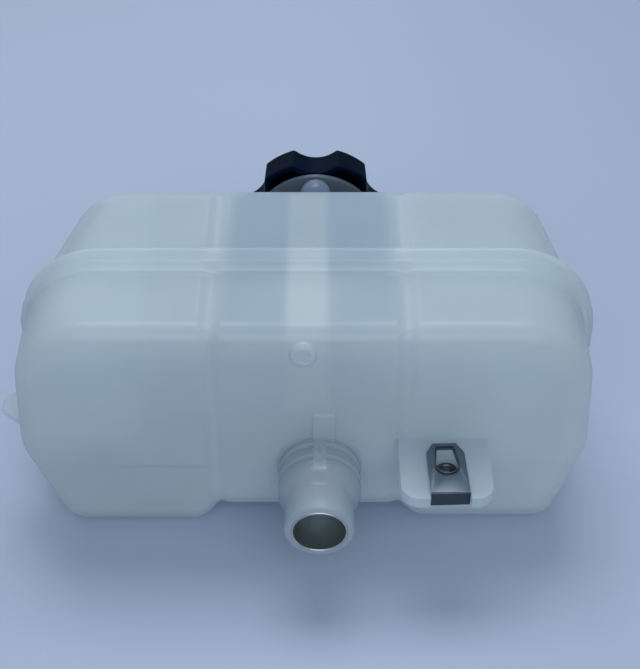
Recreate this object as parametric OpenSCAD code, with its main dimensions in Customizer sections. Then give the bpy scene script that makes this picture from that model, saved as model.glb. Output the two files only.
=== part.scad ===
// Coolant expansion tank, lying on its side as it rests on a bench.
// X runs along the tank's width, Y from the outlet side to the filler side, Z up from the resting flats.
// The weld between the two half shells lies in the plane y = 0.

/* [Tank body] */
// Height of the body as it lies, from the resting flats to the flat top
body_h = 136; // [120:1:150]
// From the middle to the right side of the body at its widest
right_reach = 144.5; // [140:0.5:148]
// From the middle to the left side of the body at its widest
left_reach = 149.5; // [144:0.5:152]
// Depth of the outlet half, weld to outlet face
outlet_depth = 54; // [45:1:70]
// Depth of the filler half, weld to filler face
filler_depth = 84; // [70:1:100]
// Wall of both half shells
wall = 3; // [2:0.25:3.5]
// Radius of the body's top corners, seen along Y
top_corner_r = 38; // [30:1:42]
// Radius of the body's bulging sides, seen along Y
side_r = 34; // [30:1:40]
// Height of the middle of the bulging sides
side_z = 60; // [54:1:68]
// Radius of the body's bottom corners, seen along Y
foot_corner_r = 15.5; // [15:0.5:20]
// Distance of the bottom corners' centres from the middle
foot_x = 119; // [112:1:121]
// Radius of the lobes' bottom corners beside the grooves
inner_foot_r = 15; // [10:0.5:16]
// Radius of the filler face's corners
filler_corner_r = 32; // [26:1:36]
// Distance of those corners' centres from the middle
filler_corner_x = 100; // [94:1:106]
// Radius along the top edge of the outlet face
outlet_edge_r = 11; // [8:0.5:13]
// Radius along the bottom edge of the outlet face, right of the left groove and left of it
outlet_foot_r = 15; // [10:0.5:15]
left_foot_r = 11; // [10:0.5:15]
// Radius along the edges of the filler face
filler_edge_r = 25; // [18:1:28]
// Draft: how much each half grows from its face to the weld
draft = 1.5; // [0:0.1:2]

/* [Grooves and middle bay] */
// Distance of each groove from the middle
groove_x = 48.5; // [40:0.5:56]
// Width of each groove
groove_w = 7; // [5:0.5:8]
// Depth of each groove
groove_depth = 2.5; // [2:0.25:3.5]
// How far the middle bay's underside stands clear of the bench
bay_lift = 10; // [5:0.5:13]
// Height of the faint step across the outlet face
step_z = 46; // [36:1:60]
// Depth of that step
step_depth = 0.8; // [0.4:0.1:1]

/* [Weld flange] */
// How far the flange stands out from the body
flange_out = 6; // [4:0.5:8]
// Distance of the flange's left and right edge from the middle
flange_left = 151.5; // [149:0.5:154]
flange_right = 149.5; // [147:0.5:152]
// Radius of the flange's top corners
flange_top_r = 46; // [40:1:52]
// Width of the flange on each half
flange_w = 9; // [6:0.5:12]
// How far the middle of the flange's sides stands over that of the body's sides
flange_side_rise = 24; // [18:1:28]

/* [Inner walls] */
// Thickness of the inner walls
rib_t = 2.4; // [2:0.1:3]
// Left and right wall of the middle channel, from the middle
channel_left = 10; // [6:0.5:14]
channel_right = 11.5; // [6:0.5:14]
// Height above which the channel walls stand
channel_z = 86; // [76:1:110]
// Distance of the side pocket's upright wall from the middle
pocket_x = 83; // [78:1:90]
// Height of the side pocket's floor
pocket_z = 62; // [56:1:68]
// Bend radius between that wall and floor
pocket_bend_r = 20; // [14:1:24]
// Height and length of the flow windows in the inner walls
window_h = 26; // [16:1:30]
window_l = 20; // [12:1:24]

/* [Outlet] */
// Outlet axis, from the middle and above the bench
outlet_x = 5.4; // [0:0.1:12]
outlet_z = 48; // [42:0.5:56]
// Outer diameter that takes the coolant hose
hose_d = 35; // [31:0.5:36]
// Length of the hose seat
hose_seat_l = 17; // [14:0.5:24]
// Diameter of the ribbed collar behind the hose seat
collar_d = 42.4; // [40:0.2:44]
// Length of the ribbed collar, and how much of it tapers to the hose seat
collar_l = 30; // [26:1:34]
collar_taper_l = 9; // [5:0.5:10]
// Distance between the collar's grooves
collar_pitch = 8.1; // [7:0.1:9]
// Width of the collar's grooves
collar_groove_w = 2.2; // [1.5:0.1:3]
// Bore of the metal sleeve
sleeve_bore_d = 26; // [22:0.5:27]
// Sheet thickness of the metal sleeve
sleeve_t = 1; // [0.8:0.1:1.2]
// Length of the metal sleeve
sleeve_l = 32; // [24:1:40]
// Width of the web above the outlet
gusset_w = 11; // [6:0.5:12]
// Middle of the web and height of its top above the bench
gusset_x = 7.6; // [5:0.1:9]
gusset_z = 84; // [78:0.5:88]
// Diameter of the blind boss above the outlet
boss_d = 12.4; // [8:0.2:16]
// Place of that boss from the middle
boss_x = -2.5; // [-8:0.5:4]
// How far the boss stands out
boss_out = 3; // [1:0.5:5]

/* [Mounting plate and ear] */
// Left and right edge of the mounting plate
plate_x0 = 45.5; // [40:0.5:50]
plate_x1 = 91; // [84:0.5:100]
// Height of the plate's top face
plate_z = 67; // [60:0.5:74]
// Thickness of the plate
plate_t = 6.4; // [5:0.1:8]
// How far the plate stands out from the outlet face
plate_out = 42; // [38:0.5:48]
// Depth of the notch in the plate's edge that seats the clip nut
plate_notch = 3.6; // [2:0.1:6]
// Corner radius of the plate
plate_r = 9; // [4:0.5:10]
// How far the ear stands out from the middle
ear_reach = 161; // [156:0.5:166]
// Width and thickness of the ear
ear_w = 19; // [16:0.5:26]
ear_t = 3; // [2.4:0.1:4]
// Distance of the ear's centre from the weld
ear_y = 27; // [24:0.5:32]

/* [Clip nut] */
// Width of the folded sheet
clip_w = 19.2; // [18:0.2:22]
// Sheet thickness
clip_t = 1.2; // [1:0.1:1.5]
// Length of the clip over the plate
clip_l = 34.5; // [33:0.5:36]
// Centre of the clip, from the middle
clip_x = 69; // [66:0.5:70]
// Distance of the bolt axis from the outlet face
clip_hole_out = 20.5; // [19:0.5:22]
// How far the clip is turned on the plate, in degrees
clip_turn = 2; // [0:0.5:3]
// Width and length of the clip's tapered nose, and width of its window's far end, as shares of the clip's own
clip_nose_w = 0.62; // [0.5:0.02:0.7]
clip_nose_l = 0.19; // [0.1:0.01:0.25]
clip_window_w = 0.44; // [0.3:0.02:0.5]
// Core diameter of the M8 nut thread
clip_thread_d = 6.8; // [5:0.1:7]
// Diameter of the bolt hole through the plate
plate_hole_d = 11.4; // [11.2:0.1:13]

/* [Filler neck] */
// Neck axis, from the middle and above the bench
neck_x = 3.2; // [0:0.1:8]
neck_z = 87.8; // [80:0.1:92]
// Bore of the neck
neck_bore_d = 42; // [38:0.5:43]
// Outer diameter of the neck under the thread
neck_d = 50; // [49:0.5:51]
// How far the neck's rim stands off the filler face
neck_l = 34; // [32:0.5:40]
// Diameter and thickness of the neck's collar disc
neck_disc_d = 73; // [62:0.2:74]
neck_disc_t = 2.5; // [2:0.1:3]
// Distance of the collar disc's far face from the filler face
neck_disc_out = 19; // [18:0.5:20]
// Diameter of the round blind stub on the neck
stub_d = 17.4; // [12:0.2:17.6]
// Height of the stub's end above the bench
stub_z = 126; // [124:0.5:131]

/* [Cap] */
// Diameter across the lobes at the open end
cap_d = 87; // [84:0.5:94]
// Diameter across the lobes at the closed end
cap_end_d = 85; // [80:0.5:87]
// Number of lobes
cap_lobes = 6; // [5:1:8]
// Radius of the hollows between the lobes
scallop_r = 18; // [16:0.5:26]
// Distance from the axis to the bottom of each hollow
scallop_in = 35.8; // [35.6:0.1:39]
// Wall of the cap's skirt
cap_wall = 2.8; // [2:0.1:3.2]
// Thickness of the cap's closed end
cap_end_t = 3; // [2.5:0.1:4]
// Bore of the cap's threaded socket
cap_socket_d = 55.2; // [55:0.1:56]
// Wall of that socket
cap_socket_wall = 2.6; // [2:0.1:3]
// Gap between the cap's open end and the neck's collar disc
cap_gap = 0.5; // [0.4:0.1:1]

/* [Valve] */
// Radial clearance between the seal ring and the neck's bore
seal_clear = 0.05; // [0.02:0.01:0.1]
// Clearance between faces that slide or turn on each other
slide_clear = 0.1; // [0.05:0.01:0.15]
// Section diameter of the seal ring
seal_section_d = 2.6; // [2:0.1:3]
// Length of the valve housing below the neck's rim
housing_l = 24; // [23.5:0.5:26]
// Wall of the valve housing
housing_wall = 2; // [1.6:0.1:2.4]
// Diameter of the pressure valve's seat
seat_d = 19; // [17:0.5:21]
// Diameter of the pressure plate
pressure_plate_d = 28; // [26:0.5:30]
// Wire diameter and turns of the pressure spring
pressure_wire = 2; // [1.6:0.1:2.2]
pressure_turns = 4; // [3:1:5]
// Diameter of the vacuum plate
vacuum_plate_d = 13; // [12:0.5:14]
// Wire diameter and turns of the vacuum spring
vacuum_wire = 0.6; // [0.4:0.1:0.7]
vacuum_turns = 5; // [4:1:6]
// Diameter of the vacuum valve's stem
stem_d = 3; // [2.4:0.1:3.2]

/* [Hidden] */

round_fn = 96;
lobe_fn = 36;
spring_sides = 8;
spring_steps = 18;
thin = 0.01;
lap = 1;
far = 400;

outlet_y = -outlet_depth;
filler_y = filler_depth;
mouth_y = outlet_y - collar_l - hose_seat_l;
collar_y = outlet_y - collar_l;
bay_half = groove_x - groove_w / 2;
baffle_half = groove_x - wall / 2;
lobe_rise = 0.65 * bay_lift;
inner_foot_x = groove_x + groove_w / 2 + inner_foot_r;
sleeve_d = sleeve_bore_d + 2 * sleeve_t;
mouth_chamfer = 1.2;
collar_floor_r = hose_d / 2 + 0.6;
clip_side_gap = 0.5;
clip_fit = 0.1;
rim_y = filler_y + neck_l;
seal_y = rim_y - 6;
disc_y = filler_y + neck_disc_out;
cap_y0 = disc_y + cap_gap;
lip_t = 1.8;
head_t = 1.8;
head_y = rim_y + slide_clear;
cap_roof_y = head_y + head_t + slide_clear;
cap_y1 = cap_roof_y + cap_end_t;
cap_socket_r = cap_socket_d / 2;
cap_lip_r = neck_d / 2 + 0.6;
head_r = cap_lip_r + 1.2;
housing_r = neck_bore_d / 2 - 0.4;
seal_r = neck_bore_d / 2 - seal_clear;
seal_seat_r = seal_r - seal_section_d;
housing_in_r = seal_seat_r - housing_wall;
housing_y0 = rim_y - housing_l;
housing_floor_t = 2.5;
seat_lip_h = 1;
seat_lip_w = 2;
seal_face_y = housing_y0 + housing_floor_t + seat_lip_h;
rubber_t = 2;
plate_disc_t = 2;
seal_top_y = seal_face_y + rubber_t;
spring_y0 = seal_top_y + plate_disc_t;
spring_seat_t = 2;
spring_seat_y = rim_y - 1 - spring_seat_t;
vacuum_disc_t = 1.5;
vacuum_air_d = 1.6;
vacuum_spring_l = 6.5;
vacuum_air_at = stem_d / 2 + vacuum_air_d / 2 + 0.5;
vacuum_hole_d = 2 * vacuum_air_at + vacuum_air_d + 0.4;
retainer_y = spring_y0 + vacuum_spring_l;
retainer_t = 1.5;
retainer_d = 2 * (stem_d / 2 + 2 * vacuum_wire + 1);
pressure_coil_r = pressure_plate_d / 2 - pressure_wire / 2 - 1.8;
vacuum_coil_r = stem_d / 2 + vacuum_wire / 2 + 0.5;
cap_ribs = 12;

shell_colour = [0.80, 0.86, 0.88];
steel_colour = [0.36, 0.39, 0.43];
sleeve_colour = [0.62, 0.64, 0.66];
black = [0.05, 0.06, 0.07];
rubber_colour = [0.10, 0.10, 0.10];
spring_colour = [0.70, 0.72, 0.74];
brass_colour = [0.76, 0.63, 0.35];

// Points where the outer tangent from circle a to circle b touches them, for circles listed counter-clockwise
function tangent(a, b) =
    let (d = [b[0] - a[0], b[1] - a[1]], heading = atan2(d[1], d[0]) - acos((a[2] - b[2]) / norm(d)),
        out = [cos(heading), sin(heading)])
    [[a[0], a[1]] + a[2] * out, [b[0], b[1]] + b[2] * out];

// Convex outline round a list of circles [x, y, radius], given counter-clockwise
module round_outline(circles) {
    count = len(circles);
    polygon([for (i = [0:count - 1]) each tangent(circles[i], circles[(i + 1) % count])]);
    for (c = circles) translate([c[0], c[1]]) circle(r = c[2], $fn = round_fn);
}

// Turns a drawing in the XZ plane into a solid between y0 and y1
module along_y(y0, y1) {
    translate([0, y1, 0]) rotate([90, 0, 0]) linear_extrude(height = y1 - y0) children();
}

// Turns a drawing in the YZ plane into a solid between x0 and x1
module along_x(x0, x1) {
    translate([x0, 0, 0]) rotate([90, 0, 90]) linear_extrude(height = x1 - x0) children();
}

// Round bar along Y
module bar_y(x, z, r, y0, y1) {
    translate([x, y1, z]) rotate([90, 0, 0]) cylinder(r = r, h = y1 - y0, $fn = round_fn);
}

// Ring on the neck's axis
module neck_ring(r0, r1, y0, y1) {
    difference() {
        bar_y(neck_x, neck_z, r1, y0, y1);
        bar_y(neck_x, neck_z, r0, y0 - lap, y1 + lap);
    }
}

// Corner circles of one side lobe seen along Y: outer foot, bulging side, top and inner foot. The fourth
// value is the radius of the edge round the outlet face there. The last is 1 where the draft lifts the circle
function lobe_corners(reach, foot_r = outlet_foot_r) = [
    [foot_x, foot_corner_r, foot_corner_r, foot_r, 1],
    [reach - side_r, side_z, side_r, outlet_edge_r, 0],
    [reach - top_corner_r - 2.5, body_h - top_corner_r, top_corner_r, outlet_edge_r, 0],
    [inner_foot_x, inner_foot_r, inner_foot_r, foot_r, 1]];

// Corner circles of the narrower filler face, with the radius of the edge round it
filler_corners = [
    [filler_corner_x, foot_corner_r, foot_corner_r, foot_corner_r],
    [filler_corner_x, side_z, filler_corner_r, filler_edge_r],
    [filler_corner_x, body_h - filler_corner_r, filler_corner_r, filler_edge_r],
    [inner_foot_x, inner_foot_r, inner_foot_r, inner_foot_r]];

// Ring along Y whose tube is as thick as the edge that it rounds
module edge_ring(r, tube, inset) {
    rotate([90, 0, 0]) rotate_extrude($fn = lobe_fn) intersection() {
        translate([r - tube, 0]) circle(r = tube - inset, $fn = lobe_fn);
        translate([0, -far]) square([far, 2 * far]);
    }
}

// Groove-side end of a lobe at x: its slice at the weld, and the face's rounded foot and top edge [y, radius]
module lobe_end(x, foot, top, inset, weld) {
    translate([x, weld[0], lobe_rise + inset])
        cube([thin, weld[1] - weld[0], body_h - lobe_rise - 2 * inset]);
    translate([x, foot[0], lobe_rise + foot[1]]) rotate([0, 90, 0])
        cylinder(r = foot[1] - inset, h = thin, $fn = lobe_fn);
    translate([x, top[0], body_h - top[1]]) rotate([0, 90, 0])
        cylinder(r = top[1] - inset, h = thin, $fn = lobe_fn);
}

// Both ends of the lobe beside the groove, which slopes by the groove's depth
module lobe_slope(start, foot, top, inset, weld) {
    lobe_end(start + groove_w / 2, foot, top, inset, weld);
    lobe_end(start, foot, top, inset + groove_depth, weld);
}

// Slices of a lobe at the weld, between the two y values of weld
module lobe_weld(reach, inset, weld) {
    for (c = lobe_corners(reach)) translate([c[0], weld[1], c[1] + c[4] * draft]) rotate([90, 0, 0])
        cylinder(r = c[2] + draft - inset, h = weld[1] - weld[0], $fn = lobe_fn);
}

// Right-hand lobe of the outlet half. An inset makes the hollow inside it
module outlet_lobe(reach, foot_r, start, inset, weld) {
    foot = [outlet_y + foot_r, foot_r];
    top = [outlet_y + outlet_edge_r, outlet_edge_r];
    hull() {
        for (c = lobe_corners(reach, foot_r)) translate([c[0], outlet_y + c[3], c[1]])
            edge_ring(c[2], c[3], inset);
        lobe_weld(reach, inset, weld);
        lobe_slope(start, foot, top, inset, weld);
    }
}

// Right-hand lobe of the filler half. An inset makes the hollow inside it
module filler_lobe(reach, start, inset, weld) {
    edge = [filler_y - filler_edge_r, filler_edge_r];
    hull() {
        for (c = filler_corners) translate([c[0], filler_y - c[3], c[1]]) edge_ring(c[2], c[3], inset);
        lobe_weld(reach, inset, weld);
        lobe_slope(start, edge, edge, inset, weld);
    }
}

// Outline of the middle bay in the YZ plane, inset on all sides
module bay_outline(inset) {
    back = filler_y - filler_edge_r;
    round_outline([
        [outlet_y + outlet_foot_r, bay_lift + outlet_foot_r, outlet_foot_r - inset],
        [back, bay_lift + filler_edge_r, filler_edge_r - inset],
        [back, body_h - filler_edge_r, filler_edge_r - inset],
        [outlet_y + outlet_edge_r, body_h - outlet_edge_r, outlet_edge_r - inset]]);
}

// One half's share of the bay between x = -half_w and half_w
module bay_slab(half_w, inset, y0, y1) {
    along_x(-half_w, half_w) intersection() {
        bay_outline(inset);
        translate([y0, -far]) square([y1 - y0, 2 * far]);
    }
}

// Outer bodies of the two halves
module outlet_body() {
    outlet_lobe(right_reach, outlet_foot_r, groove_x, 0, [-thin, 0]);
    mirror([1, 0, 0]) outlet_lobe(left_reach, left_foot_r, groove_x, 0, [-thin, 0]);
    bay_slab(bay_half, 0, -far, 0);
    bay_slab(groove_x + lap, groove_depth, -far, 0);
}

module filler_body() {
    filler_lobe(right_reach, groove_x, 0, [0, thin]);
    mirror([1, 0, 0]) filler_lobe(left_reach, groove_x, 0, [0, thin]);
    bay_slab(bay_half, 0, 0, far);
    bay_slab(groove_x + lap, groove_depth, 0, far);
}

// Hollows of the two halves: a lobe each side and the bay, with an inner wall under each groove
module outlet_hollow() {
    outlet_lobe(right_reach, outlet_foot_r, groove_x + wall / 2, wall, [-thin, lap]);
    mirror([1, 0, 0]) outlet_lobe(left_reach, left_foot_r, groove_x + wall / 2, wall, [-thin, lap]);
    bay_slab(bay_half - wall, wall, -far, lap);
    bay_slab(baffle_half, wall + groove_depth, -far, lap);
}

module filler_hollow() {
    filler_lobe(right_reach, groove_x + wall / 2, wall, [-lap, thin]);
    mirror([1, 0, 0]) filler_lobe(left_reach, groove_x + wall / 2, wall, [-lap, thin]);
    bay_slab(bay_half - wall, wall, -lap, far);
    bay_slab(baffle_half, wall + groove_depth, -lap, far);
}

// Outline of the weld flange
module flange_outline() {
    foot_r = foot_corner_r + flange_out / 2;
    side_top_z = side_z + flange_side_rise;
    top_z = body_h + flange_out - 0.5 - flange_top_r;
    round_outline([
        [-foot_x, foot_r, foot_r],
        [foot_x, foot_r, foot_r],
        [flange_right - side_r, side_top_z, side_r],
        [flange_right - flange_top_r, top_z, flange_top_r],
        [-flange_left + flange_top_r, top_z, flange_top_r],
        [-flange_left + side_r, side_top_z, side_r]]);
}

// Walls of the middle channel, which stands over the outlet from the top of the tank
module channel_walls(y0, y1, z0) {
    for (x = [-channel_left - rib_t, channel_right])
        translate([x, y0, z0]) cube([rib_t, y1 - y0, body_h - z0]);
}

// Wall and floor of the side pocket, joined by a bend, seen along Y
module pocket_outline() {
    translate([-pocket_x - rib_t, pocket_z + pocket_bend_r])
        square([rib_t, body_h - pocket_z - pocket_bend_r]);
    translate([-left_reach, pocket_z])
        square([left_reach - pocket_x - pocket_bend_r, rib_t]);
    translate([-pocket_x - pocket_bend_r, pocket_z + pocket_bend_r]) intersection() {
        difference() {
            circle(r = pocket_bend_r, $fn = round_fn);
            circle(r = pocket_bend_r - rib_t, $fn = round_fn);
        }
        translate([0, -pocket_bend_r]) square(pocket_bend_r);
    }
}

// Cuts that let coolant through the inner walls, low and high
module flow_windows(y) {
    for (x = [-groove_x, groove_x], z = [bay_lift + 2 * wall + groove_depth, body_h - window_h - 4 * wall])
        translate([x - wall - lap, y, z]) cube([2 * wall + 2 * lap, window_l, window_h]);
}

// Cone on the outlet's axis, from radius r0 at y0 to radius r1 at y1 nearer the mouth
module cone_y(y0, r0, y1, r1) {
    translate([outlet_x, y0, outlet_z]) rotate([90, 0, 0])
        cylinder(r1 = r0, r2 = r1, h = y0 - y1, $fn = round_fn);
}

// Ribbed collar and hose seat of the outlet
module outlet_pipe() {
    taper_y = collar_y + collar_taper_l;
    difference() {
        bar_y(outlet_x, outlet_z, collar_d / 2, taper_y, outlet_y + wall);
        for (i = [1, 2]) difference() {
            groove_y = outlet_y - i * collar_pitch;
            bar_y(outlet_x, outlet_z, collar_d, groove_y, groove_y + collar_groove_w);
            bar_y(outlet_x, outlet_z, collar_floor_r, collar_y, outlet_y);
            for (turn = [0, 90]) translate([outlet_x, collar_y, outlet_z]) rotate([0, turn, 0])
                translate([-gusset_w / 4, 0, -collar_d / 2]) cube([gusset_w / 2, collar_l, collar_d]);
        }
    }
    cone_y(taper_y, collar_d / 2, collar_y, hose_d / 2);
    bar_y(outlet_x, outlet_z, hose_d / 2, mouth_y + mouth_chamfer, collar_y + lap);
    cone_y(mouth_y + mouth_chamfer, hose_d / 2, mouth_y, hose_d / 2 - mouth_chamfer);
    along_x(gusset_x - gusset_w / 2, gusset_x + gusset_w / 2) polygon([
        [outlet_y + wall / 2, outlet_z + hose_d / 2], [outlet_y - collar_pitch, outlet_z + hose_d / 2],
        [outlet_y - collar_pitch, outlet_z + collar_d / 2],
        [outlet_y, gusset_z], [outlet_y + wall / 2, gusset_z]]);
}

// Puts drawings on the bolt axis at height z, turned with the clip
module on_clip_axis(z) {
    translate([clip_x, outlet_y - clip_hole_out, z]) rotate(clip_turn) children();
}

// Mounting plate that stands out of the outlet face and carries the clip nut
module mounting_plate() {
    y0 = outlet_y - plate_out;
    difference() {
        translate([0, 0, plate_z - plate_t]) linear_extrude(height = plate_t) {
            translate([plate_x0, y0 + plate_r]) square([plate_x1 - plate_x0, plate_out - plate_r + wall / 2]);
            translate([plate_x0 + plate_r, y0]) square([plate_x1 - plate_x0 - 2 * plate_r, plate_r]);
            for (x = [plate_x0 + plate_r, plate_x1 - plate_r])
                translate([x, y0 + plate_r]) circle(r = plate_r, $fn = round_fn);
        }
        on_clip_axis(plate_z - plate_t - lap) {
            cylinder(d = plate_hole_d, h = plate_t + 2 * lap, $fn = round_fn);
            translate([-clip_w / 2 - clip_side_gap, clip_hole_out - plate_out - 2 * lap, 0])
                cube([clip_w + 2 * clip_side_gap, plate_notch + 2 * lap, plate_t + 2 * lap]);
        }
    }
}

// Thin ear on the tank's left side
module ear() {
    end_r = ear_w / 2 - 2;
    translate([0, -ear_y, plate_z - ear_t]) linear_extrude(height = ear_t) {
        translate([-ear_reach + end_r, -ear_w / 2]) square([ear_reach - left_reach + wall, ear_w]);
        for (y = [-2, 2]) translate([-ear_reach + end_r, y]) circle(r = end_r, $fn = round_fn);
    }
}

module outlet_half_shell() {
    color(shell_colour) difference() {
        union() {
            outlet_body();
            along_y(-flange_w, 0) flange_outline();
            outlet_pipe();
            mounting_plate();
            ear();
            bar_y(boss_x, body_h - outlet_edge_r - 2, boss_d / 2, outlet_y - boss_out, outlet_y + wall);
        }
        difference() {
            outlet_hollow();
            channel_walls(outlet_y, lap, channel_z);
            along_y(outlet_y, lap) pocket_outline();
        }
        flow_windows(outlet_y + 2 * wall);
        bar_y(outlet_x, outlet_z, sleeve_bore_d / 2, mouth_y - lap, outlet_y + wall + lap);
        bar_y(outlet_x, outlet_z, sleeve_d / 2, mouth_y - lap, mouth_y + sleeve_l);
        translate([-left_reach, outlet_y - lap, -lap])
            cube([left_reach + plate_x0 - lap, lap + step_depth, step_z + lap]);
    }
}

module filler_half_shell() {
    stub_y = filler_y + (neck_disc_out - neck_disc_t) / 2;
    color(shell_colour) difference() {
        union() {
            filler_body();
            along_y(0, flange_w) flange_outline();
            bar_y(neck_x, neck_z, neck_d / 2, filler_y - wall, rim_y);
            bar_y(neck_x, neck_z, neck_disc_d / 2, disc_y - neck_disc_t, disc_y);
            translate([neck_x, stub_y, neck_z])
                cylinder(d = stub_d, h = stub_z - neck_z - stub_d / 2, $fn = round_fn);
            translate([neck_x, stub_y, stub_z - stub_d / 2]) sphere(d = stub_d, $fn = round_fn);
        }
        difference() {
            filler_hollow();
            channel_walls(-lap, filler_y - filler_edge_r, neck_z + neck_bore_d / 2 + wall);
            along_y(-lap, filler_y) pocket_outline();
        }
        flow_windows(filler_y - filler_edge_r - window_l);
        bar_y(neck_x, neck_z, neck_bore_d / 2, filler_y - wall - lap, rim_y + lap);
    }
}

// Rolled steel sleeve that keeps the outlet round under the hose clamp, with its butt joint at the bottom
module outlet_sleeve() {
    joint_w = 0.4;
    joint_turn = 22;
    color(sleeve_colour) difference() {
        bar_y(outlet_x, outlet_z, sleeve_d / 2, mouth_y, mouth_y + sleeve_l);
        bar_y(outlet_x, outlet_z, sleeve_bore_d / 2, mouth_y - lap, mouth_y + sleeve_l + lap);
        translate([outlet_x, mouth_y - lap, outlet_z]) rotate([0, joint_turn, 0])
            translate([-joint_w / 2, 0, -sleeve_d]) cube([joint_w, sleeve_l + 2 * lap, sleeve_d]);
    }
}

// Folded sheet nut over the plate's edge: upper leg with a window, lower leg with the nut's threaded barrel
module clip_nut() {
    top_z = plate_z + clip_fit;
    low_z = plate_z - plate_t - clip_fit - clip_t;
    front = clip_hole_out - plate_out + plate_notch - clip_fit - clip_t;
    back = front + clip_l;
    nose_w = clip_nose_w * clip_w;
    side_l = (1 - clip_nose_l) * clip_l;
    window_w = clip_window_w * clip_w;
    window_back = back - 3 * clip_t;
    color(steel_colour) on_clip_axis(0) difference() {
        union() {
            for (z = [top_z, low_z]) translate([0, 0, z]) linear_extrude(height = clip_t) polygon([
                [-clip_w / 2, front], [clip_w / 2, front], [clip_w / 2, front + side_l],
                [nose_w / 2, back], [-nose_w / 2, back], [-clip_w / 2, front + side_l]]);
            translate([-clip_w / 2, front, low_z]) cube([clip_w, clip_t, top_z + clip_t - low_z]);
            translate([0, 0, low_z]) cylinder(d = plate_hole_d - 4 * clip_fit, h = plate_t - 1, $fn = round_fn);
        }
        translate([0, 0, low_z - lap]) cylinder(d = clip_thread_d, h = plate_t + 2 * lap, $fn = round_fn);
        translate([0, 0, top_z - clip_fit / 2]) {
            cylinder(d = plate_hole_d, h = clip_t + clip_fit, $fn = round_fn);
            linear_extrude(height = clip_t + clip_fit) polygon([
                [-plate_hole_d / 2, 0], [plate_hole_d / 2, 0],
                [window_w / 2, window_back], [-window_w / 2, window_back]]);
        }
    }
}

// Outline of the cap with its hollows, by the radius over the lobes and an inset
module cap_outline(lobe_r, inset) {
    difference() {
        circle(r = lobe_r - inset, $fn = round_fn);
        for (i = [0:cap_lobes - 1]) rotate(i * 360 / cap_lobes + 90)
            translate([scallop_in + scallop_r, 0]) circle(r = scallop_r + inset, $fn = round_fn);
    }
}

// Lobed cap: skirt, closed end, threaded socket, stiffening ribs and the lip that holds the valve housing
module cap_grip() {
    depth = cap_roof_y - cap_y0;
    socket_out_r = cap_socket_r + cap_socket_wall;
    rib_w = 1.6;
    color(black) translate([neck_x, cap_y1, neck_z]) rotate([90, 0, 0]) {
        difference() {
            linear_extrude(height = cap_y1 - cap_y0, scale = cap_d / cap_end_d)
                cap_outline(cap_end_d / 2, 0);
            translate([0, 0, cap_end_t]) linear_extrude(height = depth + lap)
                cap_outline(cap_end_d / 2, cap_wall);
        }
        translate([0, 0, cap_end_t - lap]) difference() {
            cylinder(r = socket_out_r, h = depth + lap - 1, $fn = round_fn);
            translate([0, 0, lap]) cylinder(r = cap_socket_r, h = depth + lap, $fn = round_fn);
        }
        translate([0, 0, cap_end_t + 2 * slide_clear + head_t]) difference() {
            cylinder(r = cap_socket_r + lap, h = lip_t, $fn = round_fn);
            translate([0, 0, -lap]) cylinder(r = cap_lip_r, h = lip_t + 2 * lap, $fn = round_fn);
        }
        for (i = [0:cap_ribs - 1]) rotate((i + 0.5) * 360 / cap_ribs)
            translate([socket_out_r - lap / 2, -rib_w / 2, cap_end_t - lap])
                cube([scallop_in - cap_wall / 2 - socket_out_r, rib_w, depth - 1]);
    }
}

// Valve housing that plugs into the neck: head under the cap's roof, seal groove, vents and the valve's seat
module valve_housing() {
    seal_half = seal_section_d / 2 + 0.3;
    color(black) difference() {
        union() {
            bar_y(neck_x, neck_z, head_r, head_y, head_y + head_t);
            bar_y(neck_x, neck_z, housing_r, housing_y0, head_y + lap);
        }
        neck_ring(seal_seat_r, neck_bore_d, seal_y - seal_half, seal_y + seal_half);
        bar_y(neck_x, neck_z, housing_in_r, seal_face_y - seat_lip_h, head_y + head_t + lap);
        bar_y(neck_x, neck_z, seat_d / 2, housing_y0 - lap, seal_face_y);
    }
    color(black) neck_ring(seat_d / 2, seat_d / 2 + seat_lip_w, housing_y0 + lap, seal_face_y);
}

// Ring of rubber in the housing's groove, which seals against the neck's bore
module neck_seal_ring() {
    color(rubber_colour) translate([neck_x, seal_y, neck_z]) rotate([90, 0, 0]) rotate_extrude($fn = round_fn)
        translate([seal_r - seal_section_d / 2, 0]) circle(d = seal_section_d, $fn = 24);
}

// Pressed seat for the pressure spring, fixed in the housing's head
module spring_seat() {
    lip_d = 2 * (pressure_coil_r - pressure_wire / 2) - 0.4;
    color(brass_colour) {
        neck_ring(lip_d / 2 - 1, housing_in_r, spring_seat_y, spring_seat_y + spring_seat_t);
        neck_ring(lip_d / 2 - 1, lip_d / 2, spring_seat_y - 1.5, spring_seat_y + lap);
    }
}

// Plate that the pressure spring holds down on its seal, with air holes round the vacuum valve's stem
module pressure_plate() {
    guide_r = pressure_coil_r - pressure_wire / 2 - 0.2;
    color(brass_colour) difference() {
        union() {
            bar_y(neck_x, neck_z, pressure_plate_d / 2, seal_top_y, spring_y0);
            neck_ring(guide_r - 1, guide_r, spring_y0 - lap, spring_y0 + 1.2);
        }
        bar_y(neck_x, neck_z, stem_d / 2 + slide_clear / 2, seal_top_y - lap, spring_y0 + lap);
        for (i = [0:3]) translate([neck_x, 0, neck_z]) rotate([0, 45 + 90 * i, 0])
            bar_y(vacuum_air_at, 0, vacuum_air_d / 2, seal_top_y - lap, spring_y0 + lap);
    }
}

// Rubber disc between the pressure plate and the seat
module pressure_seal() {
    color(rubber_colour) neck_ring(vacuum_hole_d / 2, pressure_plate_d / 2 - 0.5, seal_face_y, seal_top_y);
}

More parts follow.
